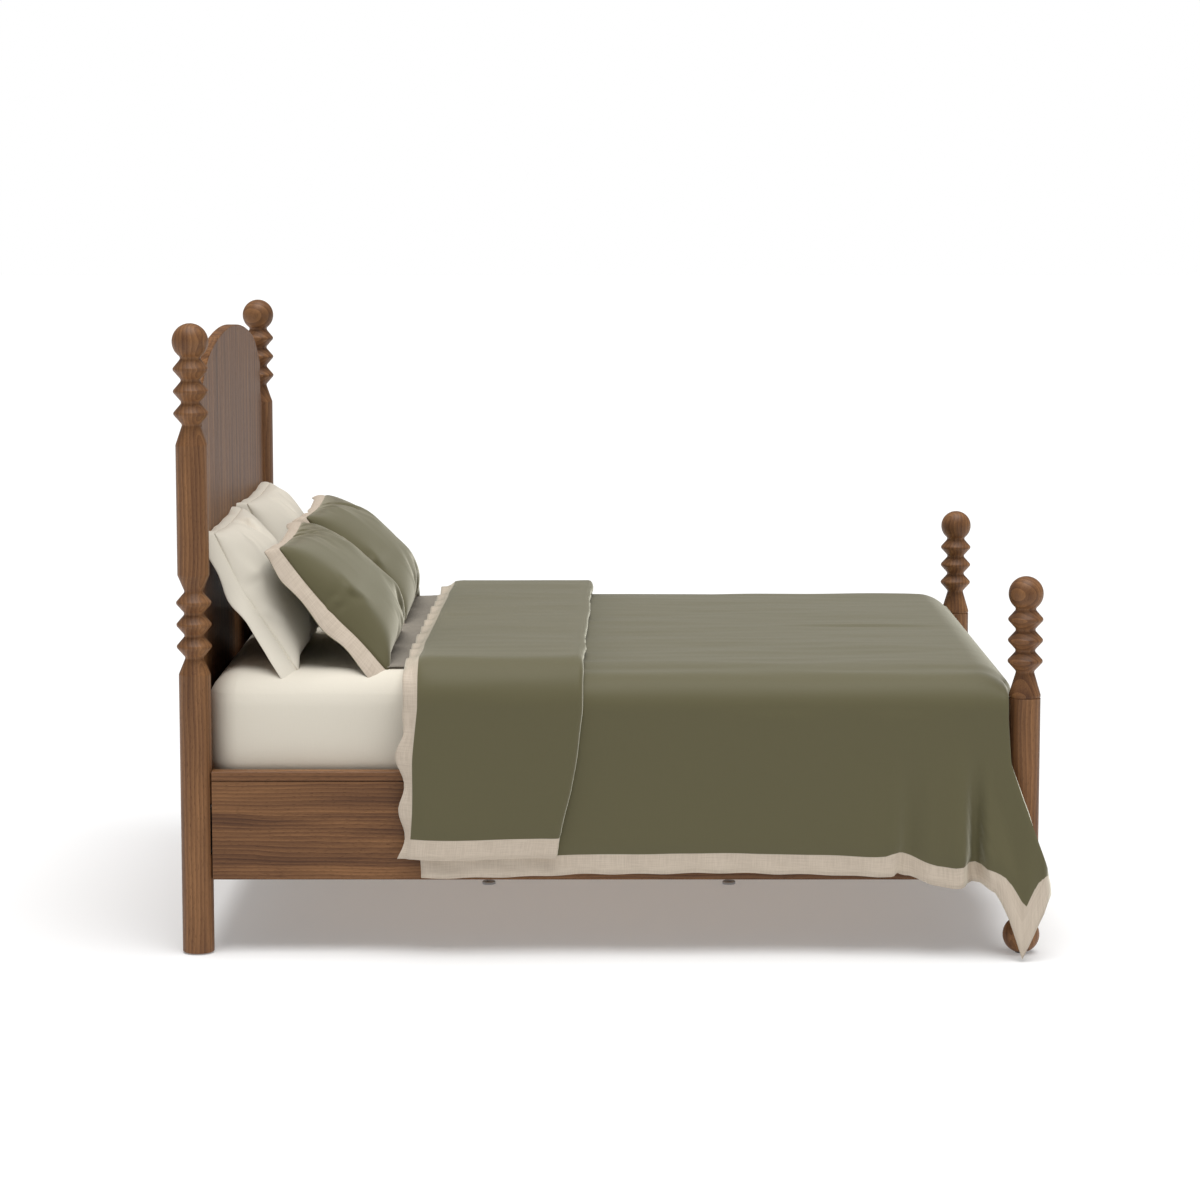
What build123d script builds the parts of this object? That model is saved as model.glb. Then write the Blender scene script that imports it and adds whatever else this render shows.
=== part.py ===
"""Panel bed with turned posts, a low footboard, slats, mattress and bedding.

X runs from the head (-X) to the foot (+X), Y across the bed, Z up.
The origin is the centre of the bed on the floor. All sizes are in millimetres.
"""

from build123d import *
from math import cos, radians, sin, sqrt
import os

os.makedirs("parts", exist_ok=True)

# Mattress, which the frame is built around
mattress_length = 2000
mattress_width = 1600
mattress_thickness = 280
mattress_rounding = 45
mattress_shift = -6
slat_top_z = 420

# Frame layout: the post axes stand outside the mattress
end_room = 30
side_room = 35
post_x = mattress_length / 2 + end_room
post_y = mattress_width / 2 + side_room

# Turned posts: the corners of a bead are sharp here and rounded by the rounding values
shaft_radius = 39.5
bead_count = 3
bead_radius = 45.8
neck_radius = 22.2
bead_rounding = 7
cone_rounding = 8
edge_ease = 2
head_bead_pitch = 54.5
head_lower_neck_z = 746
head_cone_rise = 42
head_upper_neck_z = 1323.5
head_upper_cone_rise = 50
head_ball_radius = 45
head_ball_rise = 40.5
foot_bead_pitch = 52
foot_neck_z = 711
foot_cone_rise = 58
foot_ball_radius = 43.3
foot_ball_rise = 38
ball_foot_radius = 46
ball_foot_shaft_z = 130
finial_seam_z = 646
finial_tenon_radius = 12
finial_tenon_length = 50

# Glides under the posts
glide_height = 3
glide_radius = 14
glide_nail_radius = 1.5
glide_nail_length = 14

# Headboard: an arched panel on a lower rail, both held in grooves of the head posts
panel_thickness = 28
tongue_depth = 10
headboard_rail_bottom_z = 190
arch_top_z = 1532
arch_shoulder_inset = 335
arch_shoulder_drop = 42
arch_side_inset = 100
arch_side_drop = 137
arch_waist_drop = 207
arch_waist_bow = 16
panel_shoulder_drop = 260
panel_edge_ease = 3

# Side rails and footboard: a lower board, an upper board and a cap over a shadow groove
rail_thickness = 32
rail_proud = 20.5
rail_bottom_z = 189
board_joint_z = 356
board_top_z = 436
groove_height = 3
groove_depth = 4
cap_width = 42
cap_height = 22
cap_rounding = 5
rail_end_gap = 0.5

# Slats on cleats, with a beam and two legs along the middle
cleat_size = 30
cleat_end_room = 60
slat_count = 12
slat_width = 90
slat_thickness = 20
slat_end_room = 137.5
slat_end_gap = 2
beam_width = 40
beam_height = 60
beam_end_gap = 1
hanger_thickness = 3
hanger_reach = 45
leg_radius = 22
leg_bottom_z = 22
leg_bolt_radius = 4
leg_bolt_length = 80
insert_radius = 8
insert_length = 22
leveller_pad_radius = 18
leveller_pad_height = 8
leveller_stem_radius = 5
leveller_stem_length = 40
leveller_bore_length = 55

# Rail fasteners: a hooked plate on each rail end and a slotted plate in each post
plate_thickness = 3
plate_z = 315
hook_plate_width = 22
hook_plate_height = 110
slot_plate_width = 26
slot_plate_height = 130
slot_plate_inset = 3.5
hook_spacing = 56
hook_width = 5
hook_height = 26
hook_drop = 7
hook_tab = 3
slot_height = 36
hook_pocket_depth = 16
screw_radius = 2
screw_head_radius = 4
plate_screw_length = 25
plate_screw_spacing = 114
hook_screw_spacing = 96
slat_screw_length = 42

# Fits
sliding_fit = 0.1
thread_fit = 0.05
soft_gap = 0.5

# Bedding
sheet_thickness = 2
duvet_thickness = 14
duvet_post_gap = 2
duvet_hem_z = 200
duvet_rounding = 75
band_head_room = 506
band_fold_back = 30
band_length = 370
band_thickness = 30
band_side_thickness = 18
band_hem_z = 246
fold_start_room = 270
fold_top_z = 600
fold_middle_z = 400
fold_bottom_z = 10
fold_rounding = 22
fold_middle_share = 0.35
fold_bottom_share = 1.25
pleat_room = 190
pleat_out = 15
pleat_drop = 18
valley_room = 125
valley_in = 5
flap_start_room = 60
flap_middle_reach = 8
flap_reach = 68
flap_out = 52
flap_edge_out = 22
flap_edge_drop = 35
flap_tip_room = 10
flap_tip_z = 18
sham_width = 730
sham_flange = 50
sham_side_pull = 12
sham_crown = 130
sham_half_thickness = 66
sham_gap = 60
white_sham_height = 408
white_sham_room = 238
white_sham_angle = 34
green_sham_height = 420
green_sham_room = 450
green_sham_angle = 43

# Worked out from the values above
rail_outer_y = post_y + rail_proud
rail_inner_y = rail_outer_y - rail_thickness
rail_middle_y = rail_outer_y - rail_thickness / 2
rail_end_x = post_x - shaft_radius - rail_end_gap
panel_front_x = post_x - panel_thickness / 2
footboard_inner_x = post_x - rail_thickness / 2
tongue_end_y = post_y - shaft_radius + tongue_depth
cap_bottom_z = board_top_z + groove_height
cap_top_z = cap_bottom_z + cap_height
cleat_top_z = slat_top_z - slat_thickness
beam_bottom_z = cleat_top_z - beam_height
mattress_top_z = slat_top_z + mattress_thickness
slot_plate_face_x = post_x - shaft_radius + slot_plate_inset
sheet_top_z = mattress_top_z + soft_gap + sheet_thickness
slat_screw_y = rail_inner_y - cleat_size / 2
slat_pitch = 2 * (rail_end_x - slat_end_room) / (slat_count - 1)
slat_xs = [(slat - (slat_count - 1) / 2) * slat_pitch for slat in range(slat_count)]
leg_x = rail_end_x / 3
arch_shoulder_y = post_y - arch_shoulder_inset
arch_shoulder_z = arch_top_z - arch_shoulder_drop
arch_side_y = post_y - arch_side_inset
arch_side_z = arch_top_z - arch_side_drop
arch_waist_z = arch_top_z - arch_waist_drop
panel_shoulder_z = arch_top_z - panel_shoulder_drop
mattress_head_x = mattress_shift - mattress_length / 2
mattress_foot_x = mattress_shift + mattress_length / 2
sides = {"left": -1, "right": 1}
ends = {"head": -1, "foot": 1}


def save(piece, name):
    """Label one finished piece and write it out."""
    piece.part.label = name
    export_step(piece.part, f"parts/{name}.step")


def block(low, high, mode=Mode.ADD):
    """Add a box between two corners, given in any order."""
    size = [abs(b - a) for a, b in zip(low, high)]
    centre = [(a + b) / 2 for a, b in zip(low, high)]
    with Locations(tuple(centre)):
        Box(*size, mode=mode)


def facing(x, y, z, direction):
    """A plane at a point whose normal is the given direction along X."""
    return Plane(origin=(x, y, z), x_dir=(0, 1, 0), z_dir=(direction, 0, 0))


def bead_stack(first_neck_z, pitch):
    """Corners of a stack of beads as (radius, height, rounding), from neck to neck."""
    corners = []
    for bead in range(bead_count):
        neck_z = first_neck_z + bead * pitch
        corners.append((neck_radius, neck_z, bead_rounding))
        corners.append((bead_radius, neck_z + pitch / 2, bead_rounding))
    corners.append((neck_radius, first_neck_z + bead_count * pitch, bead_rounding))
    return corners


def turn(corners, x, y, ball_z=None, ball_radius=None):
    """Turn a profile about the vertical through (x, y), with a ball on top if one is given."""
    plane = Plane(origin=(x, y, 0), x_dir=(1, 0, 0), z_dir=(0, -1, 0))
    base_z = corners[0][1]
    with BuildSketch(plane) as profile:
        with BuildLine():
            if ball_radius:
                neck_z = ball_z - sqrt(ball_radius**2 - neck_radius**2)
                corners = corners[:-1] + [(neck_radius, neck_z, 0)]
                top_z = ball_z + ball_radius
                ThreePointArc((neck_radius, neck_z), (ball_radius, ball_z), (0, top_z))
            else:
                top_z = corners[-1][1]
                Line((corners[-1][0], top_z), (0, top_z))
            points = [(radius, z) for radius, z, rounding in corners]
            roundings = [rounding for radius, z, rounding in corners[1:-1]]
            FilletPolyline(*points, radius=roundings)
            Line((0, top_z), (0, base_z))
            Line((0, base_z), points[0])
        make_face()
        if ball_radius:
            neck = profile.vertices().sort_by_distance((neck_radius, neck_z))
            fillet(neck[0], bead_rounding)
    revolve(profile.sketch, axis=Axis((x, y, 0), (0, 0, 1)))


def glide_hole(x, y):
    """Take out the nail hole of the glide under a post."""
    with Locations((x, y, glide_height)):
        hole_radius = glide_nail_radius + sliding_fit
        hole_depth = glide_nail_length + sliding_fit
        Cylinder(hole_radius, hole_depth, align=(Align.CENTER, Align.CENTER, Align.MIN), mode=Mode.SUBTRACT)


def fastener_mortise(end, side):
    """Take out the seat of the slotted plate, the room behind it and its screw holes."""
    surface_x = end * (post_x - shaft_radius - 1)
    seat_x = end * (slot_plate_face_x + plate_thickness)
    pocket_x = end * (post_x - shaft_radius + hook_pocket_depth)
    middle_y = side * rail_middle_y
    seat_half = slot_plate_width / 2 + sliding_fit
    seat_rise = slot_plate_height / 2 + sliding_fit
    pocket_half = hook_width
    pocket_rise = hook_spacing / 2 + slot_height / 2
    block(
        (surface_x, middle_y - seat_half, plate_z - seat_rise),
        (seat_x, middle_y + seat_half, plate_z + seat_rise),
        Mode.SUBTRACT,
    )
    block(
        (seat_x, middle_y - pocket_half, plate_z - pocket_rise),
        (pocket_x, middle_y + pocket_half, plate_z + pocket_rise),
        Mode.SUBTRACT,
    )
    for step in (-1, 1):
        with Locations(facing(seat_x, middle_y, plate_z + step * plate_screw_spacing / 2, -end)):
            Hole(screw_radius + sliding_fit, depth=plate_screw_length)


def head_post(side):
    """Full-height turned post with a groove for the headboard."""
    x = -post_x
    y = side * post_y
    lower = bead_stack(head_lower_neck_z, head_bead_pitch)
    upper = bead_stack(head_upper_neck_z, head_bead_pitch)
    ball_z = upper[-1][1] + head_ball_rise
    corners = [
        (shaft_radius - edge_ease, glide_height, 0),
        (shaft_radius, glide_height + edge_ease, 0),
        (shaft_radius, head_lower_neck_z - head_cone_rise, cone_rounding),
        *lower,
        (shaft_radius, lower[-1][1] + head_cone_rise, cone_rounding),
        (shaft_radius, head_upper_neck_z - head_upper_cone_rise, cone_rounding),
        *upper,
    ]
    with BuildPart() as post:
        turn(corners, x, y, ball_z, head_ball_radius)
        groove_half = panel_thickness / 2 + sliding_fit
        block(
            (x - groove_half, side * (post_y - bead_radius - 1), headboard_rail_bottom_z - sliding_fit),
            (x + groove_half, side * (tongue_end_y + sliding_fit), panel_shoulder_z + sliding_fit),
            Mode.SUBTRACT,
        )
        fastener_mortise(-1, side)
        glide_hole(x, y)
    return post


def foot_post(side):
    """Short post: a ball foot and a plain shaft, mortised for the footboard."""
    x = post_x
    y = side * post_y
    foot_z = ball_foot_radius
    neck_z = foot_z + sqrt(ball_foot_radius**2 - neck_radius**2)
    flat_radius = sqrt(ball_foot_radius**2 - (ball_foot_radius - glide_height) ** 2)
    plane = Plane(origin=(x, y, 0), x_dir=(1, 0, 0), z_dir=(0, -1, 0))
    with BuildPart() as post:
        with BuildSketch(plane) as profile:
            with BuildLine():
                ThreePointArc((flat_radius, glide_height), (ball_foot_radius, foot_z), (neck_radius, neck_z))
                Polyline(
                    (neck_radius, neck_z),
                    (shaft_radius, ball_foot_shaft_z),
                    (shaft_radius, finial_seam_z - edge_ease),
                    (shaft_radius - edge_ease, finial_seam_z),
                    (0, finial_seam_z),
                    (0, glide_height),
                    (flat_radius, glide_height),
                )
            make_face()
            neck = profile.vertices().sort_by_distance((neck_radius, neck_z))
            fillet(neck[0], bead_rounding)
        revolve(axis=Axis((x, y, 0), (0, 0, 1)))
        with Locations((x, y, finial_seam_z)):
            Hole(finial_tenon_radius + sliding_fit, depth=finial_tenon_length + sliding_fit)
        mortise_half = rail_thickness / 2 + sliding_fit
        block(
            (x - mortise_half, side * (post_y - shaft_radius - 1), rail_bottom_z - sliding_fit),
            (x + mortise_half, side * (tongue_end_y + sliding_fit), board_top_z + sliding_fit),
            Mode.SUBTRACT,
        )
        fastener_mortise(1, side)
        glide_hole(x, y)
    return post


def foot_finial(side):
    """Beaded top of a foot post, with a tenon that goes down into the shaft."""
    stack = bead_stack(foot_neck_z, foot_bead_pitch)
    corners = [
        (finial_tenon_radius, finial_seam_z - finial_tenon_length, 0),
        (finial_tenon_radius, finial_seam_z, 0),
        (shaft_radius - edge_ease, finial_seam_z, 0),
        (shaft_radius, finial_seam_z + edge_ease, 0),
        (shaft_radius, foot_neck_z - foot_cone_rise, cone_rounding / 2),
        *stack,
    ]
    with BuildPart() as finial:
        turn(corners, post_x, side * post_y, stack[-1][1] + foot_ball_rise, foot_ball_radius)
    return finial


for side_name, side in sides.items():
    save(head_post(side), f"head_post_{side_name}")
    save(foot_post(side), f"foot_post_{side_name}")
    save(foot_finial(side), f"foot_finial_{side_name}")

# Glides nailed under the four posts
with BuildPart() as post_glides:
    with Locations((-post_x, -post_y), (-post_x, post_y), (post_x, -post_y), (post_x, post_y)):
        Cylinder(glide_radius, glide_height, align=(Align.CENTER, Align.CENTER, Align.MIN))
        Cylinder(
            glide_nail_radius,
            glide_height + glide_nail_length,
            align=(Align.CENTER, Align.CENTER, Align.MIN),
        )
save(post_glides, "post_glides")

# Arched headboard panel, drawn on its back face and extruded towards the foot
with BuildPart() as headboard_panel:
    back_plane = Plane(origin=(-post_x - panel_thickness / 2, 0, 0), x_dir=(0, 1, 0), z_dir=(1, 0, 0))
    with BuildSketch(back_plane):
        with BuildLine():
            crown = ThreePointArc(
                (-arch_shoulder_y, arch_shoulder_z), (0, arch_top_z), (arch_shoulder_y, arch_shoulder_z)
            )
            for side in (-1, 1):
                shoulder = (side * arch_shoulder_y, arch_shoulder_z)
                slope = crown % 1 if side > 0 else -(crown % 0)
                drop = TangentArc(shoulder, (side * arch_side_y, arch_side_z), tangent=slope)
                Line(drop @ 1, (side * arch_side_y, arch_waist_z))
                ThreePointArc(
                    (side * arch_side_y, arch_waist_z),
                    (side * (arch_side_y + arch_waist_bow), panel_shoulder_z + arch_waist_bow),
                    (side * (post_y - shaft_radius), panel_shoulder_z),
                )
                Polyline(
                    (side * (post_y - shaft_radius), panel_shoulder_z),
                    (side * tongue_end_y, panel_shoulder_z),
                    (side * tongue_end_y, slat_top_z),
                    (0, slat_top_z),
                )
        make_face()
    extrude(amount=panel_thickness)
    top_edges = headboard_panel.edges().filter_by_position(Axis.Z, arch_side_z - 1, arch_top_z + 1)
    fillet(top_edges.filter_by(lambda edge: edge.geom_type == GeomType.CIRCLE), panel_edge_ease)
save(headboard_panel, "headboard_panel")

# Lower rail of the headboard, under the panel
with BuildPart() as headboard_rail:
    block(
        (-post_x - panel_thickness / 2, -tongue_end_y, headboard_rail_bottom_z),
        (-panel_front_x, tongue_end_y, slat_top_z),
    )
save(headboard_rail, "headboard_rail")


def board_end_cuts(end, side):
    """Take out the recess of the hooked plate and its screw holes at one end of a rail."""
    face_x = end * rail_end_x
    recess_x = end * (rail_end_x - plate_thickness)
    recess_half = hook_plate_width / 2 + sliding_fit
    recess_rise = hook_plate_height / 2 + sliding_fit
    middle_y = side * rail_middle_y
    block(
        (face_x, middle_y - recess_half, plate_z - recess_rise),
        (recess_x, middle_y + recess_half, plate_z + recess_rise),
        Mode.SUBTRACT,
    )
    for step in (-1, 1):
        with Locations(facing(recess_x, middle_y, plate_z + step * hook_screw_spacing / 2, end)):
            Hole(screw_radius + sliding_fit, depth=plate_screw_length)


def side_board(side, bottom_z, top_z, groove_z=None):
    """One board of a side rail, with the set-back tongue that carries the cap on the upper one."""
    with BuildPart() as board:
        block((-rail_end_x, side * rail_inner_y, bottom_z), (rail_end_x, side * rail_outer_y, top_z))
        if groove_z:
            block(
                (-rail_end_x, side * rail_inner_y, top_z),
                (rail_end_x, side * (rail_outer_y - groove_depth), groove_z),
            )
        for end in (-1, 1):
            board_end_cuts(end, side)
    return board


for side_name, side in sides.items():
    save(side_board(side, rail_bottom_z, board_joint_z), f"side_rail_lower_{side_name}")
    save(side_board(side, board_joint_z, board_top_z, cap_bottom_z), f"side_rail_upper_{side_name}")

    with BuildPart() as side_cap:
        block(
            (-rail_end_x, side * (rail_outer_y - cap_width), cap_bottom_z),
            (rail_end_x, side * rail_outer_y, cap_top_z),
        )
        fillet(side_cap.edges().filter_by(Axis.X).group_by(Axis.Z)[-1], cap_rounding)
    save(side_cap, f"side_rail_cap_{side_name}")

    with BuildPart() as cleat:
        cleat_end_x = rail_end_x - cleat_end_room
        block(
            (-cleat_end_x, side * rail_inner_y, cleat_top_z - cleat_size),
            (cleat_end_x, side * (rail_inner_y - cleat_size), cleat_top_z),
        )
        for slat_x in slat_xs:
            with Locations((slat_x, side * slat_screw_y, cleat_top_z)):
                Hole(screw_radius + sliding_fit, depth=slat_screw_length - slat_thickness)
    save(cleat, f"slat_cleat_{side_name}")

# Footboard: two boards between the foot posts, with a cap like the one on the rails
with BuildPart() as footboard_lower:
    block(
        (footboard_inner_x, -tongue_end_y, rail_bottom_z),
        (footboard_inner_x + rail_thickness, tongue_end_y, board_joint_z),
    )
save(footboard_lower, "footboard_lower")

with BuildPart() as footboard_upper:
    block(
        (footboard_inner_x, -tongue_end_y, board_joint_z),
        (footboard_inner_x + rail_thickness, tongue_end_y, board_top_z),
    )
    shoulder_y = post_y - shaft_radius - rail_end_gap
    block(
        (footboard_inner_x, -shoulder_y, board_top_z),
        (footboard_inner_x + rail_thickness - groove_depth, shoulder_y, cap_bottom_z),
    )
save(footboard_upper, "footboard_upper")

with BuildPart() as footboard_cap:
    block(
        (post_x - cap_width / 2, -shoulder_y, cap_bottom_z),
        (post_x + cap_width / 2, shoulder_y, cap_top_z),
    )
    fillet(footboard_cap.edges().filter_by(Axis.Y).group_by(Axis.Z)[-1], cap_rounding)
save(footboard_cap, "footboard_cap")

# Slats across the cleats, with one screw at each end
slat_end_y = rail_inner_y - slat_end_gap
for number, slat_x in enumerate(slat_xs, start=1):
    with BuildPart() as slat:
        block(
            (slat_x - slat_width / 2, -slat_end_y, cleat_top_z),
            (slat_x + slat_width / 2, slat_end_y, slat_top_z),
        )
        with Locations((slat_x, -slat_screw_y, slat_top_z), (slat_x, slat_screw_y, slat_top_z)):
            CounterSinkHole(screw_radius + sliding_fit, screw_head_radius + sliding_fit)
    save(slat, f"slat_{number:02d}")


def countersunk_screw(length):
    """Add a countersunk screw at the current place, its head flush with z = 0 and its shank below."""
    head_height = screw_head_radius - screw_radius
    Cone(
        screw_radius,
        screw_head_radius,
        head_height,
        align=(Align.CENTER, Align.CENTER, Align.MAX),
    )
    Cylinder(screw_radius, length, align=(Align.CENTER, Align.CENTER, Align.MAX))


with BuildPart() as slat_screws:
    for slat_x in slat_xs:
        for side in (-1, 1):
            with Locations((slat_x, side * slat_screw_y, slat_top_z)):
                countersunk_screw(slat_screw_length)
save(slat_screws, "slat_screws")

# Middle beam under the slats, hung at both ends and carried by two legs
beam_head_x = -panel_front_x + hanger_thickness + beam_end_gap
beam_foot_x = footboard_inner_x - hanger_thickness - beam_end_gap
with BuildPart() as centre_beam:
    block(
        (beam_head_x, -beam_width / 2, beam_bottom_z),
        (beam_foot_x, beam_width / 2, cleat_top_z),
    )
    with Locations((-leg_x, 0, beam_bottom_z), (leg_x, 0, beam_bottom_z)):
        Cylinder(leg_bolt_radius + sliding_fit, leg_bolt_length, mode=Mode.SUBTRACT)
save(centre_beam, "centre_beam")

for end_name, end in ends.items():
    wall_x = -panel_front_x if end < 0 else footboard_inner_x
    with BuildPart() as hanger:
        inner_half = beam_width / 2 + soft_gap
        outer_half = inner_half + hanger_thickness
        block(
            (wall_x, -outer_half, beam_bottom_z - hanger_thickness),
            (wall_x - end * hanger_reach, outer_half, cleat_top_z - soft_gap),
        )
        block(
            (wall_x - end * hanger_thickness, -inner_half, beam_bottom_z),
            (wall_x - end * (hanger_reach + 1), inner_half, cleat_top_z),
            Mode.SUBTRACT,
        )
    save(hanger, f"beam_hanger_{end_name}")

for number, x in enumerate((-leg_x, leg_x), start=1):
    with BuildPart() as leg:
        with Locations((x, 0, leg_bottom_z)):
            Cylinder(leg_radius, beam_bottom_z - leg_bottom_z, align=(Align.CENTER, Align.CENTER, Align.MIN))
        chamfer(leg.edges().filter_by(GeomType.CIRCLE).group_by(Axis.Z)[0], edge_ease)
        with Locations((x, 0, leg_bottom_z)):
            Cylinder(
                insert_radius,
                insert_length,
                align=(Align.CENTER, Align.CENTER, Align.MIN),
                mode=Mode.SUBTRACT,
            )
            Cylinder(
                leveller_stem_radius + thread_fit,
                leveller_bore_length,
                align=(Align.CENTER, Align.CENTER, Align.MIN),
                mode=Mode.SUBTRACT,
            )
        with Locations((x, 0, beam_bottom_z)):
            Cylinder(leg_bolt_radius + sliding_fit, leg_bolt_length, mode=Mode.SUBTRACT)
    save(leg, f"centre_leg_{number}")

    with BuildPart() as leveller:
        with Locations((x, 0, 0)):
            Cylinder(leveller_pad_radius, leveller_pad_height, align=(Align.CENTER, Align.CENTER, Align.MIN))
        chamfer(leveller.edges().filter_by(GeomType.CIRCLE).group_by(Axis.Z)[-1], edge_ease)
        with Locations((x, 0, leveller_pad_height)):
            Cylinder(
                leveller_stem_radius,
                leveller_stem_length,
                align=(Align.CENTER, Align.CENTER, Align.MIN),
            )
    save(leveller, f"leveller_{number}")

# Threaded inserts for the levellers, and bolts that hold the legs to the beam
with BuildPart() as leg_inserts:
    with Locations((-leg_x, 0, leg_bottom_z), (leg_x, 0, leg_bottom_z)):
        Cylinder(insert_radius, insert_length, align=(Align.CENTER, Align.CENTER, Align.MIN))
        Cylinder(
            leveller_stem_radius + thread_fit,
            insert_length,
            align=(Align.CENTER, Align.CENTER, Align.MIN),
            mode=Mode.SUBTRACT,
        )
save(leg_inserts, "leg_inserts")

with BuildPart() as leg_bolts:
    with Locations((-leg_x, 0, beam_bottom_z), (leg_x, 0, beam_bottom_z)):
        Cylinder(leg_bolt_radius, leg_bolt_length - 2 * soft_gap)
save(leg_bolts, "leg_bolts")


def slot_plate(end, side):
    """Slotted steel plate let into a post."""
    middle_y = side * rail_middle_y
    face_x = end * slot_plate_face_x
    back_x = end * (slot_plate_face_x + plate_thickness)
    with BuildPart() as plate:
        block(
            (face_x, middle_y - slot_plate_width / 2, plate_z - slot_plate_height / 2),
            (back_x, middle_y + slot_plate_width / 2, plate_z + slot_plate_height / 2),
        )
        for step in (-1, 1):
            slot_bottom_z = plate_z + step * hook_spacing / 2 - hook_height / 2
            block(
                (face_x, middle_y - hook_width / 2 - soft_gap, slot_bottom_z),
                (back_x, middle_y + hook_width / 2 + soft_gap, slot_bottom_z + slot_height),
                Mode.SUBTRACT,
            )
            with Locations(facing(face_x, middle_y, plate_z + step * plate_screw_spacing / 2, -end)):
                CounterSinkHole(screw_radius + sliding_fit, screw_head_radius + sliding_fit)
    return plate


def hook_plate(end, side):
    """Steel plate let into a rail end, with two hooks that drop behind the slotted plate."""
    middle_y = side * rail_middle_y
    face_x = end * rail_end_x
    back_x = end * (rail_end_x - plate_thickness)
    tab_x = end * (slot_plate_face_x + plate_thickness + soft_gap)
    tip_x = tab_x + end * hook_tab
    with BuildPart() as plate:
        block(
            (face_x, middle_y - hook_plate_width / 2, plate_z - hook_plate_height / 2),
            (back_x, middle_y + hook_plate_width / 2, plate_z + hook_plate_height / 2),
        )
        for step in (-1, 1):
            hook_z = plate_z + step * hook_spacing / 2
            low_z = hook_z - hook_height / 2
            block(
                (face_x, middle_y - hook_width / 2, low_z),
                (tip_x, middle_y + hook_width / 2, low_z + hook_height),
            )
            block(
                (tab_x, middle_y - hook_width / 2, low_z - hook_drop),
                (tip_x, middle_y + hook_width / 2, low_z + hook_height),
            )
            with Locations(facing(face_x, middle_y, plate_z + step * hook_screw_spacing / 2, end)):
                CounterSinkHole(screw_radius + sliding_fit, screw_head_radius + sliding_fit)
    return plate


for end_name, end in ends.items():
    for side_name, side in sides.items():
        save(slot_plate(end, side), f"slot_plate_{end_name}_{side_name}")
        save(hook_plate(end, side), f"hook_plate_{end_name}_{side_name}")

with BuildPart() as plate_screws:
    for end in (-1, 1):
        for side in (-1, 1):
            for step in (-1, 1):
                slot_screw_z = plate_z + step * plate_screw_spacing / 2
                with Locations(facing(end * slot_plate_face_x, side * rail_middle_y, slot_screw_z, -end)):
                    countersunk_screw(plate_screw_length)
                hook_screw_z = plate_z + step * hook_screw_spacing / 2
                with Locations(facing(end * rail_end_x, side * rail_middle_y, hook_screw_z, end)):
                    countersunk_screw(plate_screw_length)
save(plate_screws, "plate_screws")


def mattress_shape(grow, bottom_z):
    """The mattress, grown on its sides and top by the given amount."""
    half_y = mattress_width / 2 + grow
    with BuildPart() as shape:
        block(
            (mattress_head_x - grow, -half_y, bottom_z),
            (mattress_foot_x + grow, half_y, mattress_top_z + grow),
        )
        fillet(shape.edges().filter_by(Axis.Z), mattress_rounding + grow)
        fillet(shape.edges().group_by(Axis.Z)[-1], mattress_rounding + grow)
    return shape


mattress = mattress_shape(0, slat_top_z)
save(mattress, "mattress")

with BuildPart() as fitted_sheet:
    add(mattress_shape(soft_gap + sheet_thickness, slat_top_z + soft_gap).part)
    add(mattress_shape(soft_gap, slat_top_z - 1).part, mode=Mode.SUBTRACT)
save(fitted_sheet, "fitted_sheet")


# Duvet: a thin quilt over the mattress, past the rails and over the footboard
duvet_inner_y = post_y + shaft_radius + duvet_post_gap
duvet_middle_y = duvet_inner_y + duvet_thickness / 2
duvet_outer_y = duvet_inner_y + duvet_thickness
duvet_under_z = sheet_top_z + soft_gap
duvet_top_z = duvet_under_z + duvet_thickness
duvet_inner_x = mattress_foot_x + 2 * soft_gap + sheet_thickness
duvet_outer_x = duvet_inner_x + duvet_thickness
band_head_x = mattress_head_x + band_head_room
band_foot_x = band_head_x + band_length
duvet_head_x = band_head_x + band_fold_back
fold_start_x = post_x - fold_start_room
pleat_x = post_x - pleat_room
valley_x = post_x - valley_room
flap_start_x = post_x - flap_start_room
flap_middle_x = post_x + flap_middle_reach
flap_reach_x = post_x + flap_reach
flap_tip_x = post_x - flap_tip_room
apron_middle_x = duvet_inner_x + duvet_thickness / 2
apron_over_cap_z = cap_top_z + soft_gap + duvet_thickness / 2
apron_drop_x = post_x + cap_width / 2 + cap_rounding + duvet_thickness / 2
apron_half_y = post_y - shaft_radius - cap_rounding


def quilt_block(low_x, high_x, half_y, top_z, bottom_z, rounding):
    """Box over the mattress with rounded top edges and rounded corners towards the foot."""
    with BuildPart() as shape:
        block((low_x, -half_y, bottom_z), (high_x, half_y, top_z))
        fillet(shape.edges().filter_by(Axis.Z).group_by(Axis.X)[-1], rounding)
        fillet(shape.edges().group_by(Axis.Z)[-1].group_by(Axis.X)[1:], rounding - edge_ease)
    return shape.part


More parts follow.
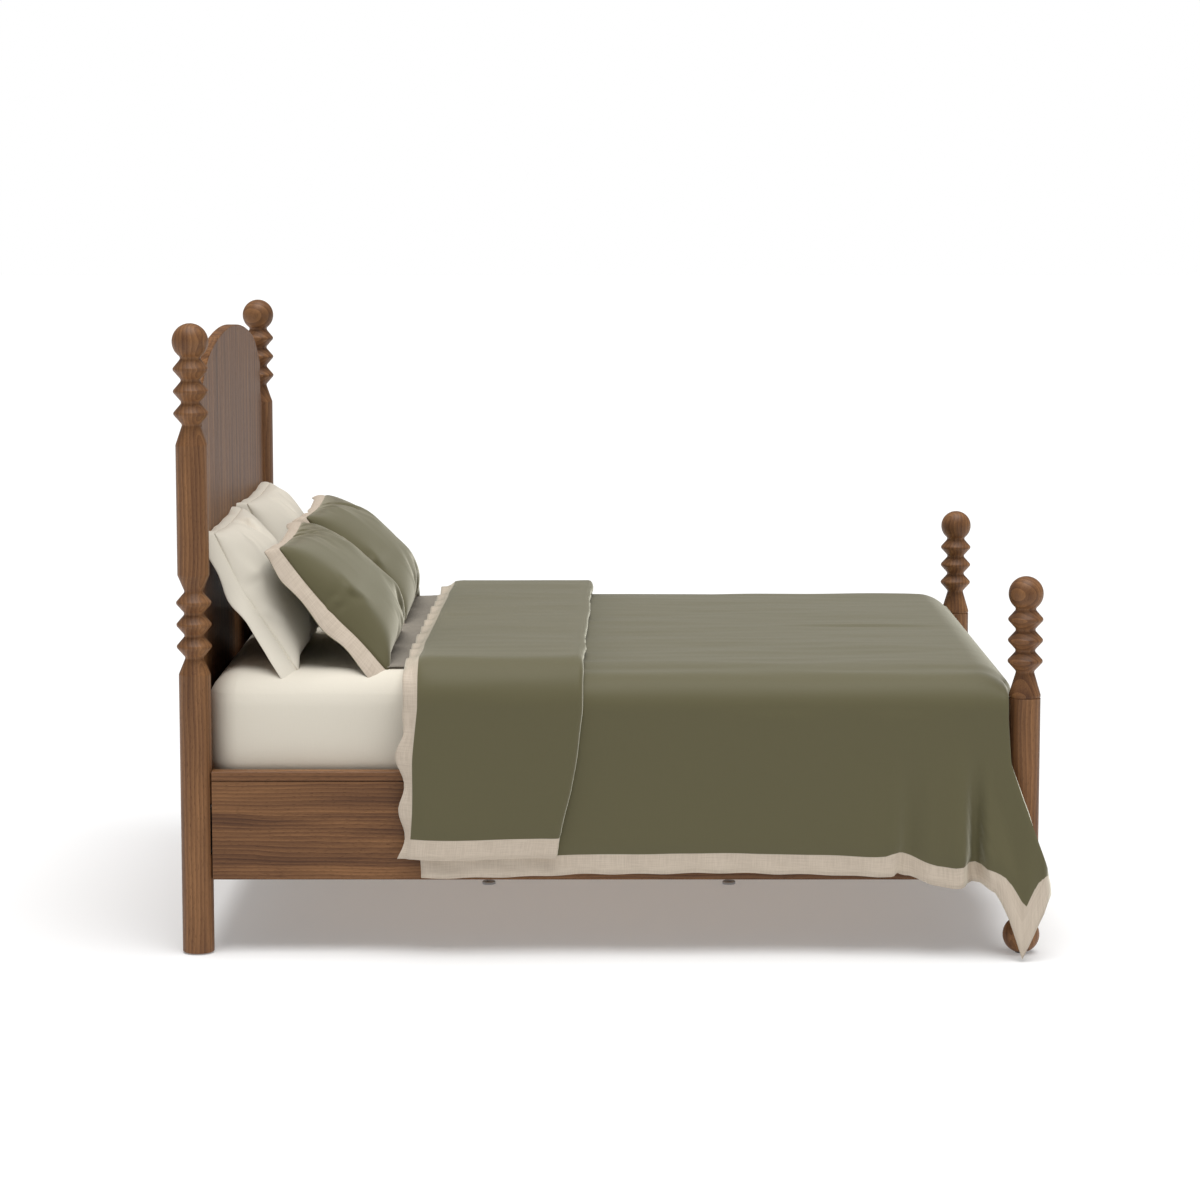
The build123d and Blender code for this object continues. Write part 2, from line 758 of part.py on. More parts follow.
def side_fold():
    """The pleats of the right side drop near the foot, and the corner flap that hangs outside the post."""
    levels = [
        (fold_top_z, 0, duvet_outer_x - fold_rounding),
        (fold_middle_z, fold_middle_share, flap_middle_x),
        (duvet_hem_z, 1, flap_reach_x),
        (fold_bottom_z, fold_bottom_share, flap_reach_x + duvet_thickness),
    ]
    with BuildPart() as fold:
        for level_z, share, reach_x in levels:
            points = [
                (fold_start_x, 0),
                (pleat_x, share * pleat_out + edge_ease / 2),
                (valley_x, -share * valley_in - edge_ease / 2),
                ((valley_x + reach_x) / 2, share * flap_out + edge_ease / 2),
                (reach_x, share * flap_edge_out),
            ]
            outer = [(x, duvet_outer_y + out) for x, out in points]
            inner = [(x, duvet_inner_y + out) for x, out in points]
            end_rounding = duvet_thickness / 3
            bends = [fold_rounding] * (len(points) - 2)
            with BuildSketch(Plane.XY.offset(level_z)):
                with BuildLine():
                    FilletPolyline(
                        *outer,
                        *reversed(inner),
                        radius=[end_rounding, *bends, end_rounding] * 2,
                        close=True,
                    )
                make_face()
        loft(ruled=True)
        with BuildSketch(Plane.XZ):
            with BuildLine():
                Polyline(
                    (fold_start_x - duvet_thickness, 0),
                    (fold_start_x - duvet_thickness, duvet_hem_z),
                    (fold_start_x, duvet_hem_z),
                    (pleat_x, duvet_hem_z - pleat_drop),
                    (valley_x, duvet_hem_z - pleat_drop),
                    (flap_start_x, duvet_hem_z - flap_edge_drop),
                    (flap_tip_x, flap_tip_z),
                    (flap_reach_x, duvet_hem_z - flap_edge_drop),
                    (flap_reach_x + flap_out, duvet_hem_z),
                    (flap_reach_x + flap_out, 0),
                    close=True,
                )
            make_face()
        extrude(amount=2 * duvet_outer_y, both=True, mode=Mode.SUBTRACT)
    return fold.part


with BuildPart() as duvet:
    add(quilt_block(duvet_head_x, duvet_outer_x, duvet_outer_y, duvet_top_z, duvet_hem_z, duvet_rounding))
    with BuildPart(mode=Mode.PRIVATE) as band:
        band_outer_y = duvet_outer_y + band_side_thickness
        band_top_z = duvet_top_z + band_thickness
        block((band_head_x, -band_outer_y, band_hem_z), (band_foot_x, band_outer_y, band_top_z))
        fillet(band.edges().filter_by(Axis.X).group_by(Axis.Z)[-1], duvet_rounding)
        foot_edges = band.faces().sort_by(Axis.X)[-1].edges()
        fillet(foot_edges.sort_by(Axis.Z)[1:], band_side_thickness / 2)
    add(band.part)
    under = quilt_block(
        band_head_x - 1,
        duvet_inner_x,
        duvet_inner_y,
        duvet_under_z,
        0,
        mattress_rounding + sheet_thickness + 2 * soft_gap,
    )
    add(under, mode=Mode.SUBTRACT)
    block(
        (duvet_head_x, -duvet_inner_y, 0),
        (duvet_outer_x + 1, duvet_inner_y, apron_over_cap_z),
        Mode.SUBTRACT,
    )
    with Locations((post_x, -post_y), (post_x, post_y)):
        Cylinder(shaft_radius + duvet_post_gap, 2 * duvet_top_z, mode=Mode.SUBTRACT)
    right_fold = side_fold()
    for side in (-1, 1):
        block(
            (fold_start_x + duvet_thickness, side * (duvet_inner_y - duvet_thickness), 0),
            (duvet_outer_x + 1, side * (duvet_outer_y + 1), fold_top_z - edge_ease),
            Mode.SUBTRACT,
        )
        add(right_fold if side > 0 else right_fold.mirror(Plane.XZ))
    with BuildSketch(Plane.XZ) as apron:
        with BuildLine():
            FilletPolyline(
                (apron_middle_x, fold_top_z),
                (apron_middle_x, apron_over_cap_z),
                (apron_drop_x, apron_over_cap_z),
                (apron_drop_x, duvet_hem_z),
                radius=duvet_thickness,
            )
        trace(line_width=duvet_thickness)
    extrude(amount=apron_half_y, both=True)
save(duvet, "duvet")


def sham(height, room, angle, side):
    """Stuffed sham with a flat flange all round, leaning back from its lower edge."""
    tilt = radians(angle)
    sham_y = (sham_gap + sham_width) / 2
    plane = Plane(
        origin=(mattress_head_x + room, side * sham_y, sheet_top_z + 3 * soft_gap),
        x_dir=(0, 1, 0),
        z_dir=(cos(tilt), 0, sin(tilt)),
    )
    with BuildPart() as cushion:
        for turn_angle in (-75, -40, 0, 40, 75):
            offset = sham_half_thickness * sin(radians(turn_angle))
            inset = sham_flange + sham_crown * (1 - cos(radians(turn_angle)))
            with BuildSketch(plane.offset(offset)):
                sham_outline(height, inset)
        loft()
        with BuildSketch(plane.offset(-sheet_thickness)):
            sham_outline(height, 0)
        extrude(amount=2 * sheet_thickness)
    return cushion


def sham_outline(height, inset):
    """Rectangle with its sides drawn in between the corners, set in from the sham's edge."""
    half = sham_width / 2 - inset
    low = inset
    high = height - inset
    middle = height / 2
    with BuildLine() as border:
        ThreePointArc((-half, low), (0, low + sham_side_pull), (half, low))
        ThreePointArc((half, low), (half - sham_side_pull, middle), (half, high))
        ThreePointArc((half, high), (0, high - sham_side_pull), (-half, high))
        ThreePointArc((-half, high), (-half + sham_side_pull, middle), (-half, low))
    make_face(border.edges())


for side_name, side in sides.items():
    white = sham(white_sham_height, white_sham_room, white_sham_angle, side)
    save(white, f"sham_white_{side_name}")
    green = sham(green_sham_height, green_sham_room, green_sham_angle, side)
    save(green, f"sham_green_{side_name}")
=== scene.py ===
import math
import bpy
import bmesh
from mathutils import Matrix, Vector, noise
from mathutils.kdtree import KDTree


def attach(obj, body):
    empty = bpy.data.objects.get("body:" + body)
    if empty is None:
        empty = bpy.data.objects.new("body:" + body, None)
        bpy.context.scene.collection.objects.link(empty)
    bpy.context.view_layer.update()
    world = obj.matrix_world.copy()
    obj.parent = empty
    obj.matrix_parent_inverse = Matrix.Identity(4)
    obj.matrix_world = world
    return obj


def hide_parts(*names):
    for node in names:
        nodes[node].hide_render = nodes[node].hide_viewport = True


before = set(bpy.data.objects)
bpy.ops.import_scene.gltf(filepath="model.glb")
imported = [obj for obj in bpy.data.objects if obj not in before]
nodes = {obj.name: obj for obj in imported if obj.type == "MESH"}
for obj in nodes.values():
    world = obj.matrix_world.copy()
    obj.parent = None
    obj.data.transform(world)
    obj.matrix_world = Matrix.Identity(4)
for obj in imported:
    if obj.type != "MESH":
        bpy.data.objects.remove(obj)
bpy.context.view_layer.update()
print("bed frame loaded with", len(nodes), "pieces")


# the camera stands where the photograph was taken from
photoView = {
    "place": (-0.0245, -9.1758, 1.9178),   # metres
    "downTilt": 7.0325,                    # degrees
    "focalPixels": 3395.8,
    "imagePixels": 1200,
    "sensorMm": 36,
}


def addCamera(setting):
    camera = bpy.data.cameras.new("photoCamera")
    camera.sensor_width = setting["sensorMm"]
    camera.lens = setting["sensorMm"] * setting["focalPixels"] / setting["imagePixels"]
    camera.clip_end = 200
    holder = bpy.data.objects.new("photoCamera", camera)
    bpy.context.scene.collection.objects.link(holder)
    holder.location = setting["place"]
    holder.rotation_euler = (math.radians(90 - setting["downTilt"]), 0, 0)
    bpy.context.scene.camera = holder


addCamera(photoView)


def linear(hexColour):
    # sRGB hex to the linear colour that a shader takes
    channels = [int(hexColour[at:at + 2], 16) / 255 for at in (1, 3, 5)]
    bent = [c / 12.92 if c <= 0.04045 else ((c + 0.055) / 1.055) ** 2.4 for c in channels]
    return (*bent, 1.0)


def addNode(tree, kind, inputs=None, **settings):
    # a node with its settings; an input is a value or the socket that feeds it
    node = tree.nodes.new(kind)
    for name, value in settings.items():
        setattr(node, name, value)
    for name, value in (inputs or {}).items():
        if isinstance(value, bpy.types.NodeSocket):
            tree.links.new(value, node.inputs[name])
        else:
            node.inputs[name].default_value = value
    return node


def startMaterial(name):
    material = bpy.data.materials.new(name)
    material.use_nodes = True
    material.node_tree.nodes.clear()
    return material, material.node_tree


def finishMaterial(tree, inputs):
    shader = addNode(tree, "ShaderNodeBsdfPrincipled", inputs)
    addNode(tree, "ShaderNodeOutputMaterial", {"Surface": shader.outputs[0]})
    return shader


def rampNode(tree, factor, stops):
    ramp = addNode(tree, "ShaderNodeValToRGB", {"Fac": factor})
    while len(ramp.color_ramp.elements) < len(stops):
        ramp.color_ramp.elements.new(0.5)
    for element, (place, colour) in zip(ramp.color_ramp.elements, stops):
        element.position = place
        element.color = linear(colour)
    return ramp.outputs["Color"]


# walnut: flat-sawn and turned, under a satin lacquer that keeps a soft highlight
walnut = {
    "pale": "#9c7048",
    "middle": "#7d5738",
    "dark": "#543725",
    "poreColour": "#3a2416",
    "ringMm": 10.0,         # growth rings cut at a slant, so they show wider than they grew
    "fibreMm": 1.6,         # fibre streaks across the grain
    "fibreLongMm": 160,
    "poreMm": 1.1,          # real pores are 0.2 mm, drawn coarser so that they show
    "poreLongMm": 14,
    "roughness": 0.44,
}
grainTurns = {"X": (0, -math.pi / 2, 0), "Y": (math.pi / 2, 0, 0), "Z": (0, 0, 0)}


def walnutFinish(name, grain, pith, figure=1.0, shade=0.0, specular=0.28):
    # grain is the axis that the fibres follow, pith the tree's heart seen along it, in metres
    look = walnut
    material, tree = startMaterial(name)
    place = addNode(tree, "ShaderNodeTexCoord").outputs["Object"]
    along = addNode(tree, "ShaderNodeMapping", {
        "Vector": place, "Rotation": grainTurns[grain], "Location": (pith[0], pith[1], pith[2])})
    # the rings wander along the board, which gives the cathedral figure
    slow = addNode(tree, "ShaderNodeMapping", {"Vector": along.outputs[0], "Scale": (5.0, 5.0, 1.3)})
    wander = addNode(tree, "ShaderNodeTexNoise", {"Vector": slow.outputs[0], "Scale": 1.0, "Detail": 2.0})
    centred = addNode(tree, "ShaderNodeVectorMath", {0: wander.outputs["Color"], 1: (0.5, 0.5, 0.5)},
        operation="SUBTRACT")
    pushed = addNode(tree, "ShaderNodeVectorMath", {0: centred.outputs[0], "Scale": 0.045 * figure},
        operation="SCALE")
    bent = addNode(tree, "ShaderNodeVectorMath", {0: along.outputs[0], 1: pushed.outputs[0]},
        operation="ADD")
    rings = addNode(tree, "ShaderNodeTexWave", {
        "Vector": bent.outputs[0], "Scale": math.pi / 10 / (look["ringMm"] / 1000), "Distortion": 1.6,
        "Detail": 2.0, "Detail Scale": 0.35}, wave_type="RINGS", rings_direction="Z", wave_profile="SAW")
    fibreScale = (1000 / look["fibreMm"], 1000 / look["fibreMm"], 1000 / look["fibreLongMm"])
    fibreMap = addNode(tree, "ShaderNodeMapping", {"Vector": bent.outputs[0], "Scale": fibreScale})
    fibre = addNode(tree, "ShaderNodeTexNoise", {"Vector": fibreMap.outputs[0], "Scale": 1.0, "Detail": 3.0})
    broadMap = addNode(tree, "ShaderNodeMapping", {"Vector": bent.outputs[0], "Scale": (30.0, 30.0, 1.8)})
    broad = addNode(tree, "ShaderNodeTexNoise", {"Vector": broadMap.outputs[0], "Scale": 1.0, "Detail": 2.0})
    ringPart = addNode(tree, "ShaderNodeMath", {0: rings.outputs["Fac"], 1: 0.20}, operation="MULTIPLY")
    fibrePart = addNode(tree, "ShaderNodeMath", {0: fibre.outputs["Fac"], 1: 0.24, 2: ringPart.outputs[0]},
        operation="MULTIPLY_ADD")
    tone = addNode(tree, "ShaderNodeMath", {0: broad.outputs["Fac"], 1: 0.66, 2: fibrePart.outputs[0]},
        operation="MULTIPLY_ADD")
    shifted = addNode(tree, "ShaderNodeMath", {0: tone.outputs[0], 1: 0.07 + shade}, operation="ADD")
    colour = rampNode(tree, shifted.outputs[0],
        [(0.38, look["pale"]), (0.60, look["middle"]), (0.86, look["dark"])])
    poreScale = (1000 / look["poreMm"], 1000 / look["poreMm"], 1000 / look["poreLongMm"])
    poreMap = addNode(tree, "ShaderNodeMapping", {"Vector": along.outputs[0], "Scale": poreScale})
    pores = addNode(tree, "ShaderNodeTexNoise", {"Vector": poreMap.outputs[0], "Scale": 1.0, "Detail": 1.0})
    poreMask = addNode(tree, "ShaderNodeMapRange", {
        "Value": pores.outputs["Fac"], "From Min": 0.60, "From Max": 0.72, "To Min": 0.0, "To Max": 0.55})
    stained = addNode(tree, "ShaderNodeMix", {
        "Factor": poreMask.outputs[0], 6: colour, 7: linear(look["poreColour"])}, data_type="RGBA")
    gloss = addNode(tree, "ShaderNodeMapRange", {
        "Value": poreMask.outputs[0], "From Max": 0.55, "To Min": look["roughness"],
        "To Max": look["roughness"] + 0.2})
    bump = addNode(tree, "ShaderNodeBump", {
        "Height": poreMask.outputs[0], "Strength": 0.25, "Distance": 0.0006}, invert=True)
    finishMaterial(tree, {
        "Base Color": stained.outputs[2], "Roughness": gloss.outputs[0], "Normal": bump.outputs[0],
        "IOR": 1.45, "Specular IOR Level": specular})
    return material


# pine: planed and left bare, pale with soft brown summer rings
pine = {"pale": "#d9b98a", "summer": "#b98a55", "ringMm": 5.0, "roughness": 0.62}


def pineFinish(name, grain, pith):
    look = pine
    material, tree = startMaterial(name)
    place = addNode(tree, "ShaderNodeTexCoord").outputs["Object"]
    along = addNode(tree, "ShaderNodeMapping",
        {"Vector": place, "Rotation": grainTurns[grain], "Location": pith})
    slow = addNode(tree, "ShaderNodeMapping", {"Vector": along.outputs[0], "Scale": (4.0, 4.0, 0.9)})
    wander = addNode(tree, "ShaderNodeTexNoise", {"Vector": slow.outputs[0], "Scale": 1.0, "Detail": 1.0})
    pushed = addNode(tree, "ShaderNodeVectorMath", {0: wander.outputs["Color"], "Scale": 0.05},
        operation="SCALE")
    bent = addNode(tree, "ShaderNodeVectorMath", {0: along.outputs[0], 1: pushed.outputs[0]},
        operation="ADD")
    rings = addNode(tree, "ShaderNodeTexWave", {
        "Vector": bent.outputs[0], "Scale": math.pi / 10 / (look["ringMm"] / 1000), "Distortion": 1.0,
        "Detail": 1.0, "Detail Scale": 0.4}, wave_type="RINGS", rings_direction="Z", wave_profile="SAW")
    fibreMap = addNode(tree, "ShaderNodeMapping", {"Vector": bent.outputs[0], "Scale": (700.0, 700.0, 6.0)})
    fibre = addNode(tree, "ShaderNodeTexNoise", {"Vector": fibreMap.outputs[0], "Scale": 1.0, "Detail": 2.0})
    mixed = addNode(tree, "ShaderNodeMath", {0: fibre.outputs["Fac"], 1: 0.4, 2: rings.outputs["Fac"]},
        operation="MULTIPLY_ADD")
    colour = rampNode(tree, mixed.outputs[0], [(0.35, look["pale"]), (1.15, look["summer"])])
    bump = addNode(tree, "ShaderNodeBump",
        {"Height": fibre.outputs["Fac"], "Strength": 0.2, "Distance": 0.0004})
    finishMaterial(tree, {"Base Color": colour, "Roughness": look["roughness"], "Normal": bump.outputs[0],
        "IOR": 1.5})
    return material


# steel, brass and nylon of the hidden fittings
# pressed steel, zinc plated: dull blue-white
zincSteel = {"colour": "#b9bcc0", "roughness": 0.34, "spangleMm": 6.0}
# the plates between post and rail, coloured near black as painted shade of the dark gap at the joint
zincPaintedShade = dict(zincSteel, colour="#2e2a26", roughness=0.7)
turnedBrass = {"colour": "#c9a052", "roughness": 0.28, "spangleMm": 1.2}  # turned and left bright
mouldedNylon = {"colour": "#3b3a38", "roughness": 0.55}                   # moulded, matt dark grey


def metalFinish(name, look):
    material, tree = startMaterial(name)
    place = addNode(tree, "ShaderNodeTexCoord").outputs["Object"]
    cloud = addNode(tree, "ShaderNodeTexNoise",
        {"Vector": place, "Scale": 1000 / look["spangleMm"], "Detail": 3.0})
    rough = addNode(tree, "ShaderNodeMapRange", {
        "Value": cloud.outputs["Fac"], "To Min": look["roughness"] - 0.08,
        "To Max": look["roughness"] + 0.12})
    bump = addNode(tree, "ShaderNodeBump",
        {"Height": cloud.outputs["Fac"], "Strength": 0.08, "Distance": 0.0003})
    finishMaterial(tree, {
        "Base Color": linear(look["colour"]), "Metallic": 1.0, "Roughness": rough.outputs[0],
        "Normal": bump.outputs[0]})
    return material


def nylonFinish(name, look):
    material, tree = startMaterial(name)
    place = addNode(tree, "ShaderNodeTexCoord").outputs["Object"]
    grit = addNode(tree, "ShaderNodeTexNoise", {"Vector": place, "Scale": 1400.0, "Detail": 2.0})
    bump = addNode(tree, "ShaderNodeBump",
        {"Height": grit.outputs["Fac"], "Strength": 0.15, "Distance": 0.0002})
    finishMaterial(tree, {
        "Base Color": linear(look["colour"]), "Roughness": look["roughness"], "Normal": bump.outputs[0],
        "IOR": 1.53})
    return material


# bedding cloth
# olive sateen: cotton woven with long floats, so it has a soft sheen and hardly any visible thread
oliveSateen = {"colour": "#5e593d", "deep": "#544f35", "roughness": 0.6, "sheen": 1.0,
               "sheenTint": "#fbf8e6", "slub": 0.10, "bump": 0.12}
# washed linen of the flanges and the reverse: matt, with slubs that show as short streaks
washedLinen = {"colour": "#cdbfae", "deep": "#b5a694", "roughness": 0.85, "sheen": 0.15,
               "sheenTint": "#ffffff", "slub": 0.55, "bump": 0.45}
# cotton percale of the sheet and white shams: plain weave, matt and smooth
creamPercale = {"colour": "#e3dccd", "deep": "#d9d2c2", "roughness": 0.78, "sheen": 0.15,
                "sheenTint": "#ffffff", "slub": 0.12, "bump": 0.15}
# mattress ticking: tightly woven and matt
mattressTicking = {"colour": "#e6e3dc", "deep": "#d3cfc6", "roughness": 0.8, "sheen": 0.1,
                   "sheenTint": "#ffffff", "slub": 0.2, "bump": 0.3}
# real threads are 0.3 mm, drawn coarse so that they show
thread = {"weaveMm": 2.4, "slubWideMm": 2.2, "slubLongMm": 45.0}


def clothColour(tree, look, mapping):
    # slubs run along the warp and the weft
    strands = []
    fine, long = 1000 / thread["slubWideMm"], 1000 / thread["slubLongMm"]
    for scale in ((fine, long), (long, fine)):
        strandMap = addNode(tree, "ShaderNodeMapping", {"Vector": mapping, "Scale": (*scale, 1.0)})
        strands.append(addNode(tree, "ShaderNodeTexNoise",
            {"Vector": strandMap.outputs[0], "Scale": 1.0, "Detail": 2.0}))
    both = addNode(tree, "ShaderNodeMath", {0: strands[0].outputs["Fac"], 1: strands[1].outputs["Fac"]},
        operation="ADD")
    mask = addNode(tree, "ShaderNodeMapRange", {
        "Value": both.outputs[0], "From Min": 0.85, "From Max": 1.2, "To Min": 0.0, "To Max": look["slub"]})
    mixed = addNode(tree, "ShaderNodeMix", {
        "Factor": mask.outputs[0], 6: linear(look["colour"]), 7: linear(look["deep"])}, data_type="RGBA")
    return mixed.outputs[2], both.outputs[0]


def weaveHeight(tree, mapping):
    size = math.pi / 10 / (thread["weaveMm"] / 1000)
    warp = addNode(tree, "ShaderNodeTexWave", {"Vector": mapping, "Scale": size}, bands_direction="X")
    weft = addNode(tree, "ShaderNodeTexWave", {"Vector": mapping, "Scale": size}, bands_direction="Y")
    return addNode(tree, "ShaderNodeMath", {0: warp.outputs["Fac"], 1: weft.outputs["Fac"]},
        operation="MULTIPLY").outputs[0]


def clothFinish(name, look, flange=None, flangeWidth=0.05):
    # one cloth, or a cloth with a sewn flange of a second cloth where the hem attribute is small
    material, tree = startMaterial(name)
    mapping = addNode(tree, "ShaderNodeUVMap", uv_map="cloth").outputs[0]
    colour, strands = clothColour(tree, look, mapping)
    height = weaveHeight(tree, mapping)
    if flange:
        hem = addNode(tree, "ShaderNodeAttribute", attribute_name="hem")
        edge = addNode(tree, "ShaderNodeMapRange", {
            "Value": hem.outputs["Fac"], "From Min": flangeWidth - 0.0006, "From Max": flangeWidth + 0.0006})
        flangeColour = clothColour(tree, flange, mapping)[0]
        mixed = addNode(tree, "ShaderNodeMix", {"Factor": edge.outputs[0], 6: flangeColour, 7: colour},
            data_type="RGBA")
        colour = mixed.outputs[2]
        # a row of stitches 3 mm outside the seam
        stitchRow = addNode(tree, "ShaderNodeMath",
            {0: hem.outputs["Fac"], 1: flangeWidth - 0.003, 2: 0.0011}, operation="COMPARE")
        fine = addNode(tree, "ShaderNodeMath", {0: stitchRow.outputs[0], 1: -0.6, 2: strands},
            operation="MULTIPLY_ADD")
        strands = fine.outputs[0]
    relief = addNode(tree, "ShaderNodeMath", {0: height, 1: 0.35, 2: strands}, operation="MULTIPLY_ADD")
    bump = addNode(tree, "ShaderNodeBump",
        {"Height": relief.outputs[0], "Strength": look["bump"], "Distance": 0.0008})
    finishMaterial(tree, {
        "Base Color": colour, "Roughness": look["roughness"], "Normal": bump.outputs[0], "IOR": 1.45,
        "Specular IOR Level": 0.35, "Sheen Weight": look["sheen"], "Sheen Roughness": 0.4,
        "Sheen Tint": linear(look["sheenTint"])})
    return material


print("finishing the timber and the fittings")
boardFinishes = {
    "head_post_left": walnutFinish("walnutHeadPostLeft", "Z", (1.005, 0.86, 0.0)),
    "head_post_right": walnutFinish("walnutHeadPostRight", "Z", (1.010, -0.87, 2.0)),
    "foot_post_left": walnutFinish("walnutFootPostLeft", "Z", (-1.005, 0.86, 4.0)),
    "foot_post_right": walnutFinish("walnutFootPostRight", "Z", (-1.05, -0.86, 6.0)),
    "foot_finial_left": walnutFinish("walnutFinialLeft", "Z", (-1.055, 0.81, 8.0)),
    "foot_finial_right": walnutFinish("walnutFinialRight", "Z", (-1.00, -0.81, 9.0)),
    "headboard_panel": walnutFinish("walnutPanel", "Z", (1.35, 0.4, 3.0), 0.8, 0.0, 0.06),
    "headboard_rail": walnutFinish("walnutHeadRail", "Y", (1.12, 0.3, 1.0)),
    "side_rail_lower_left": walnutFinish("walnutLowerBoard", "X", (-0.28, 0.88, 5.0), 1.8, 0.04),
    "side_rail_lower_right": walnutFinish("walnutLowerBoardRight", "X", (-0.26, -0.90, 7.0), 1.8, 0.03),
    "side_rail_upper_left": walnutFinish("walnutUpperBoard", "X", (-0.10, 0.95, 2.5), 0.6),
    "side_rail_upper_right": walnutFinish("walnutUpperBoardRight", "X", (-0.10, -0.96, 3.5), 0.6),
    "side_rail_cap_left": walnutFinish("walnutCap", "X", (-0.30, 0.92, 1.5), 0.5, -0.03),
    "side_rail_cap_right": walnutFinish("walnutCapRight", "X", (-0.30, -0.92, 6.5), 0.5, -0.03),
    "footboard_lower": walnutFinish("walnutFootLower", "Y", (-1.15, -0.28, 2.0), 1.6, 0.02),
    "footboard_upper": walnutFinish("walnutFootUpper", "Y", (-1.20, -0.50, 4.0), 0.7),
    "footboard_cap": walnutFinish("walnutFootCap", "Y", (-1.10, -0.60, 6.0), 0.5, -0.03),
}
slatPine = pineFinish("pineSlats", "Y", (0.02, 0.35, 0.0))
cleatPine = pineFinish("pineCleats", "X", (0.40, 0.75, 0.0))
beamPine = pineFinish("pineBeam", "X", (0.33, 0.06, 0.0))
legPine = pineFinish("pineLegs", "Z", (0.40, 0.07, 0.0))
steelFinish = metalFinish("zincPlatedSteel", zincSteel)
# joint plates darkened to painted shade, so that they read as the shaded gap between post and rail
platePaintedShade = metalFinish("zincPaintedShadePlate", zincPaintedShade)
brassFinish = metalFinish("turnedBrass", turnedBrass)
nylonGlide = nylonFinish("mouldedNylon", mouldedNylon)


def finishFor(name):
    if name in boardFinishes:
        return boardFinishes[name]
    if name.startswith("slat_") and name[5:].isdigit():
        return slatPine
    if name.startswith("slat_cleat"):
        return cleatPine
    if name.startswith("centre_leg"):
        return legPine
    if name == "centre_beam":
        return beamPine
    if name == "leg_inserts":
        return brassFinish
    # the joint plates carry the painted shade of the gap between post and rail
    if name.startswith(("slot_plate", "hook_plate")):
        return platePaintedShade
    return nylonGlide if name == "post_glides" else steelFinish


softNodes = ("mattress", "fitted_sheet", "duvet", "sham_white_left", "sham_white_right", "sham_green_left",
    "sham_green_right")
for nodeName, node in nodes.items():
    if nodeName not in softNodes:
        node.data.materials.clear()
        node.data.materials.append(finishFor(nodeName))

oliveWithFlange = clothFinish("oliveSateenWithFlange", oliveSateen, washedLinen)
linenReverse = clothFinish("linenReverse", washedLinen)
# washed linen darkened to grey: painted shade for the strip that lies in shade under the shams
linenPaintedShade = clothFinish("linenPaintedShade", dict(washedLinen, colour="#8f887d", deep="#736b61"))
creamSheet = clothFinish("creamPercaleSheet", creamPercale)
oliveBack = clothFinish("oliveSateenBack", oliveSateen)
tickingCloth = clothFinish("mattressTicking", mattressTicking)


# shaping helpers
def ease(low, high, value):
    share = min(1.0, max(0.0, (value - low) / (high - low)))
    return share * share * (3 - 2 * share)


def between(stations, place, straight=False):
    # the value at a place on a list of (place, value)
    if place <= stations[0][0]:
        return stations[0][1]
    for (a, low), (b, high) in zip(stations, stations[1:]):
        if place <= b:
            share = (place - a) / (b - a) if straight else ease(a, b, place)
            return low + (high - low) * share
    return stations[-1][1]


def ripple(x, y, z=0.0):
    return noise.noise(Vector((x, y, z)))


def across(reach, top, side, rounding):
    # point and outward normal (y, z, ny, nz) at a reach from the bed's middle, over the top and down one side
    flat = side - rounding
    if reach < flat:
        return reach, top, 0.0, 1.0
    turn = (reach - flat) / rounding
    if turn < math.pi / 2:
        outward, upward = math.sin(turn), math.cos(turn)
        return flat + rounding * outward, top - rounding + rounding * upward, outward, upward
    return side, top - rounding - (turn - math.pi / 2) * rounding, 1.0, 0.0


def dropFrom(form):
    # the reach at which the cloth has rounded the side edge and begins to hang
    return form["side"] - form["rounding"] + form["rounding"] * math.pi / 2


def softened(points, rounds=3):
    # cuts the corners of a line until it is a smooth curve
    for _ in range(rounds):
        cut = [points[0]]
        for a, b in zip(points, points[1:]):
            cut += [tuple(p * 0.75 + q * 0.25 for p, q in zip(a, b)),
                tuple(p * 0.25 + q * 0.75 for p, q in zip(a, b))]
        points = cut + [points[-1]]
    return points


def lineLength(points):
    return sum(math.dist(a, b) for a, b in zip(points, points[1:]))


def pointOn(points, distance):
    for a, b in zip(points, points[1:]):
        step = math.dist(a, b)
        if distance <= step:
            return tuple(p + (q - p) * distance / step for p, q in zip(a, b))
        distance -= step
    return points[-1]


def spacedPlaces(stops):
    # places from the first stop on; each stop is (place, step up to it)
    places = [stops[0][0]]
    for stop, step in stops[1:]:
        count = max(1, round((stop - places[-1]) / step))
        start = places[-1]
        places += [start + (stop - start) * (n + 1) / count for n in range(count)]
    return places


def clothGrid(alongPlaces, acrossPlaces, placed):
    # a grid whose vertices stand at placed(along, across), with its flat cut as the UV map, in metres
    bm = bmesh.new()
    bm.loops.layers.uv.new("cloth")
    bmesh.ops.create_grid(bm, x_segments=len(alongPlaces) - 1, y_segments=len(acrossPlaces) - 1, size=0.5,
        calc_uvs=True)
    uvLayer = bm.loops.layers.uv["cloth"]
    bm.verts.index_update()
    places = [(alongPlaces[round((v.co.x + 0.5) * (len(alongPlaces) - 1))],
               acrossPlaces[round((v.co.y + 0.5) * (len(acrossPlaces) - 1))]) for v in bm.verts]
    for face in bm.faces:
        for loop in face.loops:
            loop[uvLayer].uv = places[loop.vert.index]
    for vertex in bm.verts:
        vertex.co = placed(*places[vertex.index])
    return bm, places


def hemDistances(bm, isHem):
    # distance of each vertex from the sewn hem, measured along the cloth near it
    points = []
    for edge in bm.edges:
        if edge.is_boundary and all(isHem(v) for v in edge.verts):
            a, b = (v.co.copy() for v in edge.verts)
            points += [a.lerp(b, n / 4) for n in range(5)]
    tree = KDTree(len(points))
    for number, point in enumerate(points):
        tree.insert(point, number)
    tree.balance()
    return [tree.find(v.co)[2] for v in bm.verts]


